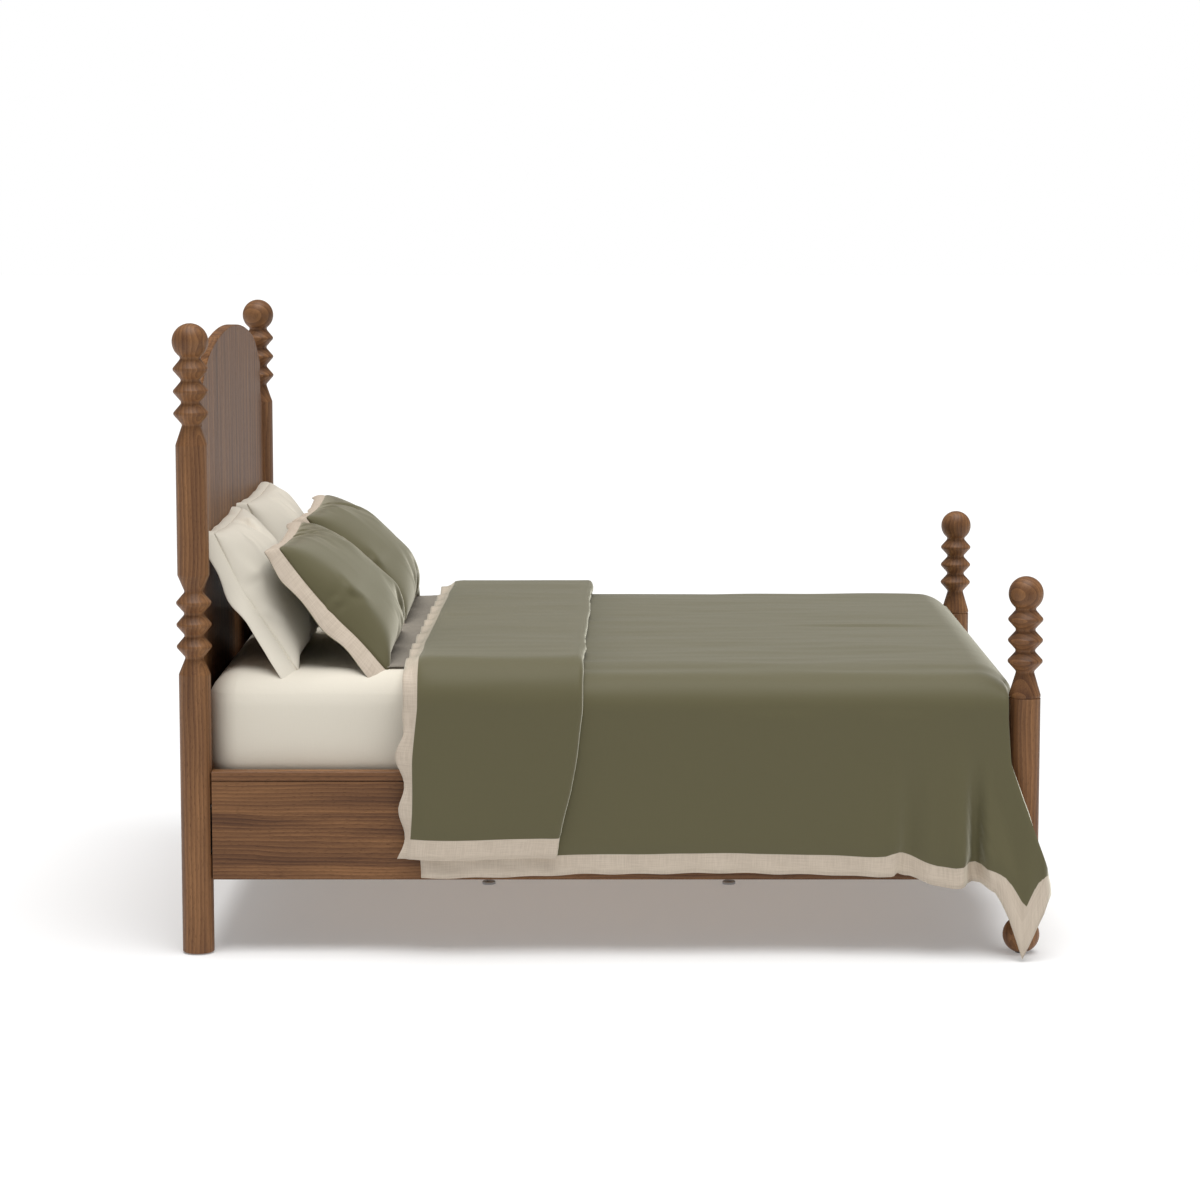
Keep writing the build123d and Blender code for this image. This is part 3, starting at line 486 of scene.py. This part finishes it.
def intoObject(bm, name, materials, smooth=True):
    mesh = bpy.data.meshes.new(name)
    bm.to_mesh(mesh)
    bm.free()
    piece = bpy.data.objects.new(name, mesh)
    bpy.context.scene.collection.objects.link(piece)
    for material in materials:
        mesh.materials.append(material)
    if smooth:
        mesh.shade_smooth()
    return piece


def sewnLayer(bm, name, materials, distances, thickness, flangeShare, flangeWidth=0.05):
    # turns a shaped grid into a stuffed cloth: full thickness in the body, thin in the flange
    hemLayer = bm.verts.layers.float.new("hem")
    bm.normal_update()
    bm.verts.ensure_lookup_table()
    lofts = []
    for vertex, distance in zip(bm.verts, distances):
        loft = flangeShare + (1 - flangeShare) * ease(flangeWidth - 0.004, flangeWidth + 0.022, distance)
        lofts.append(loft)
        vertex[hemLayer] = distance
    moves = [v.normal * (-0.5 * thickness * (1 - loft)) for v, loft in zip(bm.verts, lofts)]
    for vertex, move in zip(bm.verts, moves):
        vertex.co += move
    piece = intoObject(bm, name, materials)
    group = piece.vertex_groups.new(name="loft")
    for number, loft in enumerate(lofts):
        group.add([number], loft, "REPLACE")
    solid = piece.modifiers.new("stuffing", "SOLIDIFY")
    solid.thickness = thickness
    solid.offset = -1
    solid.vertex_group = "loft"
    solid.thickness_vertex_group = 0
    solid.material_offset = 1
    solid.material_offset_rim = 0
    return piece


# mattress and fitted sheet
mattressForm = {
    "low": (-1.006, -0.800, 0.420),
    "high": (0.994, 0.800, 0.700),
    "corner": 0.085,        # rounding of the upright corners and of the top edge
}


def mattressShell(grow, baseZ, bottomOpen):
    low = [v - grow for v in mattressForm["low"]]
    high = [v + grow for v in mattressForm["high"]]
    low[2] = baseZ
    bm = bmesh.new()
    bm.loops.layers.uv.new("cloth")
    bmesh.ops.create_cube(bm, size=1.0, calc_uvs=True)
    for vertex in bm.verts:
        vertex.co = Vector([low[k] if vertex.co[k] < 0 else high[k] for k in range(3)])
    rounding = mattressForm["corner"] + grow
    upright = [e for e in bm.edges if abs(e.verts[0].co.z - e.verts[1].co.z) > 0.1]
    bmesh.ops.bevel(bm, geom=upright, offset=rounding, offset_type="OFFSET", segments=8, profile=0.5,
        affect="EDGES", material=-1)
    ring = [e for e in bm.edges if all(abs(v.co.z - high[2]) < 1e-5 for v in e.verts)]
    bmesh.ops.bevel(bm, geom=ring, offset=rounding, offset_type="OFFSET", segments=8, profile=0.5,
        affect="EDGES", material=-1)
    if bottomOpen:
        under = [f for f in bm.faces if f.normal.z < -0.9]
        bmesh.ops.delete(bm, geom=under, context="FACES")
    for axis, count in ((0, 26), (1, 22), (2, 5)):
        for step in range(1, count):
            at = low[axis] + (high[axis] - low[axis]) * step / count
            point, normal = [0, 0, 0], [0, 0, 0]
            point[axis], normal[axis] = at, 1
            bmesh.ops.bisect_plane(bm, geom=bm.verts[:] + bm.edges[:] + bm.faces[:], plane_co=point,
                plane_no=normal, dist=1e-5)
    uvLayer = bm.loops.layers.uv["cloth"]
    for face in bm.faces:
        for loop in face.loops:
            p = loop.vert.co
            loop[uvLayer].uv = (p.x, p.y) if abs(face.normal.z) > 0.7 else (p.x + p.y, p.z)
    return bm


def buildMattress():
    bm = mattressShell(0.0, mattressForm["low"][2], False)
    piece = intoObject(bm, "mattressBlock", [tickingCloth])
    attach(piece, "bed")
    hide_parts("mattress")
    return piece


def buildSheet():
    bm = mattressShell(0.0025, 0.4205, True)
    bm.normal_update()
    moved = []
    for vertex in bm.verts:
        p = vertex.co
        # faint drag lines from the corners, and soft waves low on the sides where the elastic gathers
        low = 1 - ease(0.42, 0.56, p.z)
        wave = 0.0022 * low * math.sin((p.x + p.y) * 58 + 2 * ripple(p.x * 3, p.y * 3))
        soft = 0.0016 * (0.5 + ripple(p.x * 4, p.y * 4, p.z * 4))
        moved.append(vertex.normal * (max(0.0, soft) + max(0.0, wave)))
    for vertex, move in zip(bm.verts, moved):
        vertex.co += move
    piece = intoObject(bm, "fittedSheet", [creamSheet])
    solid = piece.modifiers.new("cloth", "SOLIDIFY")
    solid.thickness = 0.0016
    solid.offset = -1
    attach(piece, "bed")
    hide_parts("fitted_sheet")
    return piece


print("laying the mattress and the sheet")
buildMattress()
buildSheet()


# duvet
duvetForm = {
    "top": 0.717, "side": 0.8905, "rounding": 0.100,
    "headX": -0.470, "cornerX": 0.985, "footX": 1.0115,
    "thickness": 0.014, "flangeShare": 0.32,
    "cutHem": 0.2,           # the height that the side drop is cut for
    "fanX": 0.760,           # from here on the side drop opens towards the foot
    "stripHalf": 0.785,      # the foot drop lies between the posts
    "footRounding": 0.100,
    # height of the hem along the side, then the corner that hangs outside the post
    "hem": [(-0.47, 0.199), (-0.25, 0.201), (0.0, 0.209), (0.25, 0.212), (0.50, 0.207), (0.66, 0.204),
            (0.70, 0.207), (0.718, 0.216), (0.738, 0.204), (0.765, 0.196)],
    # share of the way from fanX to the fold edge, and height
    "cornerHem": [(0.0, 0.196), (0.12, 0.184), (0.28, 0.180), (0.44, 0.188), (0.57, 0.168), (0.66, 0.110),
                  (0.765, 0.006), (1.0, 0.165)],
    # the fold edge's place at each height
    "foldEdge": [(0.02, 1.098), (0.19, 1.096), (0.25, 1.076), (0.332, 1.046), (0.40, 1.020), (0.486, 0.993),
                 (0.60, 0.985), (0.70, 0.985)],
    # how far the cloth stands out at the hem, by its place along the bed
    "pleats": [(0.55, 0.000), (0.66, 0.006), (0.705, 0.014), (0.740, -0.012), (0.80, 0.016),
               (0.875, 0.046), (0.904, -0.020), (0.913, -0.018), (0.934, 0.040), (0.99, 0.056),
               (1.03, 0.064), (1.07, 0.050), (1.10, 0.030)],
    # the foot drop's outer face from the mattress edge over the footboard to its hem
    "footPath": [(0.985, 0.6843), (1.003, 0.668), (1.0115, 0.630), (1.012, 0.560), (1.018, 0.508),
                 (1.044, 0.489), (1.070, 0.472), (1.076, 0.420), (1.072, 0.320), (1.070, 0.203)],
}


def duvetTop(x, y, side):
    # soft cross wrinkles and broad lifts of the filling
    low = 0.0045 * ripple(x * 2.2 + 3, y * 7.5, side * 5)
    fine = 0.0016 * ripple(x * 5 + 9, y * 24, 2)
    return low + fine


def duvetSide(x, drop, side):
    broad = 0.009 * drop * math.sin(x * 11.5 + 0.8 + side) * (0.6 + 0.4 * ripple(x * 2, side, 4))
    return broad + 0.003 * ripple(x * 6, drop * 1.5, 7 + side)


def duvetPoint(along, reach):
    form = duvetForm
    side = -1 if reach < 0 else 1
    span = abs(reach)
    strip = along > form["cornerX"] + 1e-6
    x = min(along, form["cornerX"])
    y, z, ny, nz = across(span, form["top"], form["side"], form["rounding"])
    dropStart = dropFrom(form)
    dropTop = form["top"] - form["rounding"]
    dropLong = dropTop - form["cutHem"]
    if span > dropStart:
        drop = min(1.0, (span - dropStart) / dropLong)
        share = max(0.0, (x - form["fanX"]) / (form["cornerX"] - form["fanX"]))
        hem = between(form["cornerHem"], share, straight=True) if share > 0 else between(form["hem"], x)
        z = dropTop - drop * (dropTop - hem)
        x += share * (between(form["foldEdge"], z, straight=True) - form["cornerX"])
        grown = ease(0.12, 1.0, drop)
        out = between(form["pleats"], x) * grown + duvetSide(x, drop, side) * (1 - 0.6 * share)
        return Vector((x, side * (y + out), z))
    # top and its rounded edge, lowered over the mattress's foot edge
    bend = form["footRounding"]
    start = form["footX"] - bend
    if strip:
        x, z = pointOn(footLine, along - form["cornerX"])
        hung = along - form["cornerX"]
        x += 0.008 * math.sin(y * 9.0 + side) * ease(0.05, 0.5, hung) * (1 if z < 0.45 else 0.3)
        x -= 0.014 * ease(0.745, form["stripHalf"], y)
        return Vector((x, side * y, z))
    lower = bend - math.sqrt(max(0.0, bend * bend - (x - start) ** 2)) if x > start else 0.0
    lift = duvetTop(x, y, side) * (1 - ease(0.86, 0.985, x))
    sag = -0.003 * ease(0.35, 0.70, y) - 0.009 * ease(0.70, 0.80, y)
    y += lift * ny
    overEdge = 1 - ease(form["side"] - form["rounding"], dropStart, span)
    z += (lift + sag * nz) * max(0.35, nz) - lower * overEdge
    return Vector((x, side * y, z))


footLine = softened(duvetForm["footPath"])


def buildDuvet():
    form = duvetForm
    dropStart = dropFrom(form)
    edge = dropStart + form["top"] - form["rounding"] - form["cutHem"]
    alongPlaces = spacedPlaces([(form["headX"], 0), (0.60, 0.0135), (form["cornerX"], 0.0075),
                                (form["cornerX"] + lineLength(footLine), 0.013)])
    half = spacedPlaces([(0.0, 0), (form["stripHalf"], 0.0135), (dropStart, 0.012), (edge, 0.0125)])
    acrossPlaces = [-v for v in reversed(half[1:])] + half
    bm, places = clothGrid(alongPlaces, acrossPlaces, duvetPoint)
    beyond = [v for v in bm.verts if places[v.index][0] > form["cornerX"] + 1e-6
        and abs(places[v.index][1]) > form["stripHalf"] + 1e-6]
    kept = [place for place in places
        if not (place[0] > form["cornerX"] + 1e-6 and abs(place[1]) > form["stripHalf"] + 1e-6)]
    bmesh.ops.delete(bm, geom=beyond, context="VERTS")
    bm.verts.index_update()
    foot = max(alongPlaces)

    def isHem(vertex):
        along, reach = kept[vertex.index]
        return abs(reach) > edge - 1e-6 or along < form["headX"] + 1e-6 or along > foot - 1e-6

    distances = hemDistances(bm, isHem)
    waves = []
    bm.normal_update()
    for vertex, distance, (along, reach) in zip(bm.verts, distances, kept):
        wave = 0.004 * math.sin(along * 46 + reach * 40) * (1 - ease(0.0, 0.06, distance))
        waves.append(vertex.normal * wave)
    for vertex, wave in zip(bm.verts, waves):
        vertex.co += wave
    piece = sewnLayer(bm, "duvetCover", [oliveWithFlange, linenReverse], distances,
        form["thickness"], form["flangeShare"])
    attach(piece, "bed")
    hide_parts("duvet")
    return piece


print("draping the duvet")
duvetCover = buildDuvet()


# the duvet's head end, folded back over itself
bandForm = {
    "top": 0.747, "side": 0.9085, "rounding": 0.118, "hemZ": 0.250,
    "curl": 0.0130, "tuck": 0.045,
    "cutLong": 0.38,         # from the seam of the head flange to the fold
    "thickness": 0.011, "flangeShare": 0.35, "flange": 0.036,
    # the seam of the head flange and the fold at the foot side, by the share of the way down or across
    "foldNear": [(0.0, -0.066), (0.25, -0.075), (0.55, -0.095), (0.8, -0.118), (1.0, -0.127)],
    "seamNear": [(0.0, -0.477), (0.35, -0.488), (0.7, -0.492), (1.0, -0.500)],
    "foldTop": [(-0.9, -0.045), (0.0, -0.055), (0.9, -0.066)],
    "seamTop": [(-0.9, -0.452), (0.0, -0.465), (0.9, -0.477)],
}


def bandPoint(along, reach):
    # along runs from 0 at the head flange's edge to 1 at the fold, then round the curl in metres
    form = bandForm
    side = -1 if reach < 0 else 1
    span = abs(reach)
    dropStart = dropFrom(form)
    dropTop = form["top"] - form["rounding"]
    drop = min(1.0, max(0.0, (span - dropStart) / (dropTop - form["hemZ"])))
    if drop > 0:
        fold = between(form["foldNear"], drop, straight=True)
        seam = between(form["seamNear"], drop, straight=True)
    else:
        fold = between(form["foldTop"], -reach, straight=True)
        seam = between(form["seamTop"], -reach, straight=True)
    fold += 0.006 * ripple(1.7, reach * 4.2, 3) + 0.003 * ripple(5, reach * 11, 3)
    seam += 0.004 * ripple(4.1, reach * 5, 8)
    y, z, ny, nz = across(span, form["top"], form["side"], form["rounding"])
    if drop > 0:
        z = dropTop - drop * (dropTop - form["hemZ"] + 0.006 * ripple(along * 1.3 + 2, side, 1))
    inward = 0.0
    straightEnd = fold - form["curl"]
    if along < 0:        # the head flange, narrower where it curls under on the side
        width = -along
        reachOut = 1.0 - 0.35 * ease(0.15, 0.9, drop)
        edgeward = ease(0.0, form["flange"], width)
        x = seam - width * reachOut - 0.009 * math.sin(reach * 46 + 2) * edgeward * ease(0.0, 0.2, drop)
        inward = 0.006 * ease(0.0, 0.012, width) + 0.55 * width * (0.5 + 0.5 * ripple(3, reach * 6, 2))
        waves = 0.007 * math.sin(reach * 43 + 3 * ripple(2, reach * 3, 9))
        inward += waves * ease(0.004, form["flange"], width)
    elif along <= 1:
        x = seam + (straightEnd - seam) * along
        lift = 0.004 * ripple(x * 2.5, reach * 6, 6) + 0.0015 * ripple(x * 5, reach * 20, 1)
        if drop > 0:
            lift = 0.007 * drop * math.sin(x * 13 + 1.1) + 0.004 * ripple(x * 5, reach * 3, 2)
        inward = -lift * ease(0.0, 0.12, along) * (1 - ease(0.9, 1.0, along))
    else:                # round the fold and back under it
        path = along - 1
        turnLong = math.pi * form["curl"]
        if path < turnLong:
            turn = path / form["curl"]
            x = straightEnd + form["curl"] * math.sin(turn)
            inward = form["curl"] * (1 - math.cos(turn))
        else:
            x = straightEnd - (path - turnLong)
            inward = 2 * form["curl"]
    y -= inward * ny
    z -= inward * nz
    return Vector((x, side * y, z))


def buildBand():
    form = bandForm
    dropStart = dropFrom(form)
    edge = dropStart + form["top"] - form["rounding"] - form["hemZ"]
    curlLong = math.pi * form["curl"] + form["tuck"]
    alongPlaces = [-form["flange"] + form["flange"] * n / 6 for n in range(6)]
    alongPlaces += [n / 30 for n in range(31)] + [1 + curlLong * (n + 1) / 12 for n in range(12)]
    half = spacedPlaces([(0.0, 0), (form["side"] - form["rounding"], 0.0145), (dropStart, 0.012),
        (edge, 0.0125)])
    acrossPlaces = [-v for v in reversed(half[1:])] + half
    bm, places = clothGrid(alongPlaces, acrossPlaces, bandPoint)
    uvLayer = bm.loops.layers.uv["cloth"]
    long = form["cutLong"]
    for face in bm.faces:
        for loop in face.loops:
            u = loop[uvLayer].uv.x
            loop[uvLayer].uv.x = u if u < 0 else long * u if u <= 1 else long + u - 1
    distances = []
    for along, reach in places:
        # the head flange is narrower than the finish's 0.05 m, so its distances are stretched to that
        toHead = (form["flange"] + along) * 0.05 / form["flange"] if along <= 0 else 0.05 + long * along
        distances.append(min(toHead, edge - abs(reach)))
    piece = sewnLayer(bm, "duvetTurnback", [oliveWithFlange, linenReverse], distances,
        form["thickness"], form["flangeShare"])
    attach(piece, "bed")
    return piece


print("folding the head end back")
duvetTurnback = buildBand()


# shams: stuffed cushions with a flange that bends back from the seam all round
shamForm = {
    "width": 0.666, "flatExtra": 1.09,       # cut larger than it ends up, because stuffing draws it in
    "cellsWide": 48, "cellsHigh": 26, "rows": 6,
    "cloth": {"quality": 6, "mass": 0.25, "tension_stiffness": 18, "compression_stiffness": 18,
              "shear_stiffness": 8, "bending_stiffness": 0.6},
    "pressure": 5.0, "steps": 22, "drawn": 0.010,
    "restZ": 0.7065, "middleY": 0.395, "bow": 0.016,
    # the outer corner hangs over the mattress edge, by its place across the bed and its height on the sham
    "droopFrom": (0.680, 0.765), "droopHigh": 0.13, "droop": (0.016, 0.030, -0.052),
    "cornerCells": 4, "tuck": 0.005, "flangeThickness": 0.0035,
    # width of the flange and its bend away from the cushion's plane, in degrees
    "sideFlange": (0.050, 54), "topFlange": (0.036, 72), "lowFlange": (0.045, 78),
    "white": {"low": 0.012, "high": 0.402, "footX": -0.778, "lean": 32, "front": 0.086, "back": 0.046,
              "body": creamSheet, "flangeFront": creamSheet, "flangeBack": creamSheet,
              "slot": "white_cotton"},
    "green": {"low": 0.012, "high": 0.414, "footX": -0.548, "lean": 43, "front": 0.118, "back": 0.042,
              "body": oliveBack, "flangeFront": linenReverse, "flangeBack": oliveBack,
              "slot": "green_cotton"},
}


def stuffedCushion(width, height, seed):
    # two flat panels sewn at their edge and blown up by a cloth simulation
    form = shamForm
    bm = bmesh.new()
    bmesh.ops.create_grid(bm, x_segments=form["cellsWide"], y_segments=form["cellsHigh"], size=0.5)
    for vertex in bm.verts:
        u, v = vertex.co.x * 2, vertex.co.y * 2
        dome = (1 - u * u) * (1 - v * v) * (0.012 + 0.004 * ripple(u * 3 + seed, v * 3, seed))
        vertex.co = (u * width / 2 * form["flatExtra"], v * height / 2 * form["flatExtra"], dome)
    copied = bmesh.ops.duplicate(bm, geom=bm.verts[:] + bm.edges[:] + bm.faces[:])
    backFaces = [g for g in copied["geom"] if isinstance(g, bmesh.types.BMFace)]
    for vertex in {v for f in backFaces for v in f.verts}:
        vertex.co.z = -vertex.co.z
    bmesh.ops.reverse_faces(bm, faces=backFaces)
    bmesh.ops.remove_doubles(bm, verts=bm.verts[:], dist=1e-5)
    mesh = bpy.data.meshes.new("shamBlank")
    bm.to_mesh(mesh)
    bm.free()
    blank = bpy.data.objects.new("shamBlank", mesh)
    bpy.context.scene.collection.objects.link(blank)
    rest = [v.co.copy() for v in mesh.vertices]
    cloth = blank.modifiers.new("stuffing", "CLOTH").settings
    for setting, value in form["cloth"].items():
        setattr(cloth, setting, value)
    cloth.effector_weights.gravity = 0
    cloth.use_pressure = True
    cloth.uniform_pressure_force = form["pressure"]
    for step in range(1, form["steps"] + 1):
        bpy.context.scene.frame_set(step)
    shaped = blank.evaluated_get(bpy.context.evaluated_depsgraph_get()).to_mesh()
    bm = bmesh.new()
    bm.from_mesh(shaped)
    bpy.context.scene.frame_set(1)
    bpy.data.objects.remove(blank)
    bm.verts.ensure_lookup_table()
    return bm, rest


def seamPlace(u, v, width, height):
    # the seam is drawn in a little between its corners
    drawn = shamForm["drawn"]
    x, y = u * width / 2, v * height / 2
    if abs(u) > 0.999:
        x -= math.copysign(drawn * (1 - v * v), u)
    if abs(v) > 0.999:
        y -= math.copysign(drawn * (1 - u * u), v)
    return x, y


def fitToSeam(bm, rest, width, height, front, back):
    # moves the simulated seam onto its place and spreads the difference over the panels
    wide, high = (width / 2 * shamForm["flatExtra"], height / 2 * shamForm["flatExtra"])
    shares = [(p.x / wide, p.y / high) for p in rest]
    cells = (shamForm["cellsWide"], shamForm["cellsHigh"])
    sides, ends = {}, {}
    for vertex, (u, v) in zip(bm.verts, shares):
        x, y = seamPlace(u, v, width, height)
        if abs(u) > 0.999:
            sides[(u > 0, round(v * cells[1]))] = x - vertex.co.x
        if abs(v) > 0.999:
            ends[(v > 0, round(u * cells[0]))] = y - vertex.co.y
    rise = (max(v.co.z for v in bm.verts), -min(v.co.z for v in bm.verts))
    for vertex, (u, v) in zip(bm.verts, shares):
        row, column = round(v * cells[1]), round(u * cells[0])
        moveX = sides[(False, row)] * (1 - u) / 2 + sides[(True, row)] * (1 + u) / 2
        moveY = ends[(False, column)] * (1 - v) / 2 + ends[(True, column)] * (1 + v) / 2
        z = vertex.co.z
        full = abs(z) / (rise[0] if z > 0 else rise[1])
        full = full ** 0.85 * (front if z > 0 else -back) * (1 - 0.14 * v)     # the filling sinks
        on = abs(u) > 0.999 or abs(v) > 0.999
        x, y = seamPlace(u, v, width, height) if on else (vertex.co.x + moveX, vertex.co.y + moveY)
        vertex.co = (x, y, 0.0 if on else full)


def flangeRing(width, height, seed):
    # rows of points from the seam out to the flange's edge, all the way round, as a closed strip
    form = shamForm
    wide, high = form["cellsWide"], form["cellsHigh"]
    loop = [(-1 + 2 * n / wide, -1) for n in range(wide)] + [(1, -1 + 2 * n / high) for n in range(high)]
    loop += [(1 - 2 * n / wide, 1) for n in range(wide)] + [(-1, 1 - 2 * n / high) for n in range(high)]
    starts = [0, wide, wide + high, 2 * wide + high, 2 * wide + 2 * high]
    count = len(loop)
    rows = []
    for number, (u, v) in enumerate(loop):
        x, y = seamPlace(u, v, width, height)
        toCorner = min(abs(number - at) for at in starts)
        near = max(0.0, 1 - toCorner / form["cornerCells"])
        onSide, onEnd = abs(u) > 0.999, abs(v) > 0.999
        endWidth, endBend = form["topFlange"] if v > 0 else form["lowFlange"]
        sideWidth, sideBend = form["sideFlange"]
        goX = sideWidth * math.copysign(1.0 if onSide else near, u)
        goY = endWidth * math.copysign(1.0 if onEnd else near, v)
        cornerMix = 0.5 * near
        bend = sideBend if onSide else endBend
        bend += ((endBend if onSide else sideBend) - bend) * cornerMix
        bend += 16 * ripple(number * 0.11, seed, 5) + 12 * near * ripple(seed, number, 2)
        bend = math.radians(bend)
        reach = math.hypot(goX, goY) / (1 + 0.41 * near)
        line = []
        for row in range(form["rows"] + 1):
            out = row / form["rows"]
            flare = bend * (0.55 + 0.45 * out)          # it turns more towards its edge
            flat, deep = out * math.cos(flare), out * math.sin(flare)
            ruffle = 0.0065 * math.sin(number * 0.62 + seed * 3) * (0.5 + ripple(number * 0.07, seed, 8))
            wave = out * out * (ruffle + 0.006 * ripple(number * 0.23, seed, 1))
            inX = -form["tuck"] * (1 - out) * math.copysign(1.0 if onSide else 0.0, u)
            inY = -form["tuck"] * (1 - out) * math.copysign(1.0 if onEnd else 0.0, v)
            line.append((x + inX + goX * flat, y + inY + goY * flat, -reach * deep + wave))
        rows.append(line)
    return rows, count


def addFlange(bm, width, height, seed):
    form = shamForm
    rows, count = flangeRing(width, height, seed)
    ring = bmesh.new()
    ring.loops.layers.uv.new("cloth")
    hem = ring.verts.layers.float.new("hem")
    bmesh.ops.create_grid(ring, x_segments=count, y_segments=form["rows"], size=0.5, calc_uvs=True)
    uvLayer = ring.loops.layers.uv["cloth"]
    for vertex in ring.verts:
        number, row = round((vertex.co.x + 0.5) * count), round((vertex.co.y + 0.5) * form["rows"])
        vertex.co = rows[number % count][row]
        vertex[hem] = 0.03
    for face in ring.faces:
        for loop in face.loops:
            loop[uvLayer].uv = loop.vert.co.xy
    bmesh.ops.remove_doubles(ring, verts=ring.verts[:], dist=1e-6)
    ring.normal_update()
    if sum(f.normal.z * f.calc_area() for f in ring.faces) < 0:
        bmesh.ops.reverse_faces(ring, faces=ring.faces[:])
    for face in ring.faces:
        face.material_index = 1
    bmesh.ops.solidify(ring, geom=ring.faces[:], thickness=form["flangeThickness"])
    ringMesh = bpy.data.meshes.new("flangeRing")
    ring.normal_update()
    for face in ring.faces:
        if face.normal.z < -0.15:
            face.material_index = 2
    ring.to_mesh(ringMesh)
    ring.free()
    bm.from_mesh(ringMesh)
    bpy.data.meshes.remove(ringMesh)


def shamPiece(name, kind, side, seed):
    form, look = shamForm, shamForm[kind]
    width, height = form["width"], look["high"] - look["low"]
    bm, rest = stuffedCushion(width, height, seed)
    fitToSeam(bm, rest, width, height, look["front"], look["back"])
    uvLayer = bm.loops.layers.uv.new("cloth")
    hemLayer = bm.verts.layers.float.new("hem")
    bm.verts.ensure_lookup_table()
    for face in bm.faces:
        for loop in face.loops:
            loop[uvLayer].uv = rest[loop.vert.index].xy
    for vertex in bm.verts:
        vertex[hemLayer] = 1.0
    addFlange(bm, width, height, seed)
    # lean it back from its lower edge, rest it on the mattress and let the outer corner droop over the edge
    tilt = math.radians(look["lean"])
    foot = Vector((look["footX"], side * form["middleY"], form["restZ"]))
    up, out = Vector((-math.sin(tilt), 0, math.cos(tilt))), Vector((math.cos(tilt), 0, math.sin(tilt)))
    for vertex in bm.verts:
        w, h, d = vertex.co.x, vertex.co.y + (look["low"] + look["high"]) / 2, vertex.co.z
        bow = form["bow"] * math.sin(math.pi * min(1.0, max(0.0, h / look["high"])))
        place = foot + up * h + out * (d - bow) + Vector((0, -side * w, 0))
        place.z = max(place.z, form["restZ"] + 0.08 * (place.z - form["restZ"]))
        over = ease(*form["droopFrom"], abs(place.y)) * (1 - ease(0.0, form["droopHigh"], h))
        place += Vector((form["droop"][0], side * form["droop"][1], form["droop"][2])) * over
        vertex.co = place
    if side < 0:
        bmesh.ops.reverse_faces(bm, faces=bm.faces[:])
    bmesh.ops.recalc_face_normals(bm, faces=bm.faces[:])
    piece = intoObject(bm, name, [look["body"], look["flangeFront"], look["flangeBack"]])
    finer = piece.modifiers.new("softer", "SUBSURF")
    finer.levels = finer.render_levels = 1
    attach(piece, "bed")
    return piece


print("stuffing the shams")
for name, kind, side, seed in (("shamWhiteLeft", "white", -1, 1.3), ("shamWhiteRight", "white", 1, 4.1),
                               ("shamGreenLeft", "green", -1, 2.6), ("shamGreenRight", "green", 1, 5.7)):
    sham = shamPiece(name, kind, side, seed)
    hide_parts("sham_" + kind + ("_left" if side < 0 else "_right"))


# a washed linen sheet lies flat between the shams and the folded-back duvet, coloured darker than the washed
# linen as painted shade from the shams
linenForm = {"from": -0.620, "to": -0.430, "half": 0.735, "z": 0.7085, "thickness": 0.002}


def buildLinen():
    form = linenForm
    alongPlaces = spacedPlaces([(form["from"], 0), (form["to"], 0.010)])
    acrossPlaces = spacedPlaces([(-form["half"], 0), (form["half"], 0.012)])

    def placed(x, y):
        crease = 0.0022 * ripple(x * 9, y * 26, 3) + 0.0016 * ripple(x * 40, y * 9, 5)
        return Vector((x, y, form["z"] + 0.002 + crease - 0.016 * ease(0.715, 0.785, abs(y))))

    bm = clothGrid(alongPlaces, acrossPlaces, placed)[0]
    piece = intoObject(bm, "linenSheet", [linenPaintedShade])
    solid = piece.modifiers.new("cloth", "SOLIDIFY")
    solid.thickness = form["thickness"]
    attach(piece, "bed")
    return piece


buildLinen()


# floor and light
studio = {
    "floorColour": "#dedede",
    "skySeen": 1.0, "skyLight": 0.31, "floorGlow": 0.22,
    "sunStrength": 2.95, "sunAngle": 50, "sunTilt": (10, 4),   # degrees
}


def addStudio(setting):
    bm = bmesh.new()
    bmesh.ops.create_grid(bm, x_segments=1, y_segments=1, size=60)
    material, tree = startMaterial("plainPaleFloor")
    finishMaterial(tree, {
        "Base Color": linear(setting["floorColour"]), "Roughness": 0.9, "Specular IOR Level": 0.0,
        "Emission Color": (1, 1, 1, 1), "Emission Strength": setting["floorGlow"]})
    floor = intoObject(bm, "studioFloor", [material], smooth=False)
    world = bpy.data.worlds.new("paleStudio")
    bpy.context.scene.world = world
    world.use_nodes = True
    tree = world.node_tree
    tree.nodes.clear()
    seen = addNode(tree, "ShaderNodeLightPath").outputs["Is Camera Ray"]
    lit = addNode(tree, "ShaderNodeBackground", {"Color": (1, 1, 1, 1), "Strength": setting["skyLight"]})
    plain = addNode(tree, "ShaderNodeBackground", {"Color": (1, 1, 1, 1), "Strength": setting["skySeen"]})
    both = addNode(tree, "ShaderNodeMixShader", {0: seen, 1: lit.outputs[0], 2: plain.outputs[0]})
    addNode(tree, "ShaderNodeOutputWorld", {"Surface": both.outputs[0]})
    light = bpy.data.lights.new("softTopLight", "SUN")
    light.energy = setting["sunStrength"]
    light.angle = math.radians(setting["sunAngle"])
    lamp = bpy.data.objects.new("softTopLight", light)
    bpy.context.scene.collection.objects.link(lamp)
    lamp.rotation_euler = (math.radians(setting["sunTilt"][0]), math.radians(setting["sunTilt"][1]), 0)


addStudio(studio)
bpy.context.scene.view_settings.view_transform = "Standard"
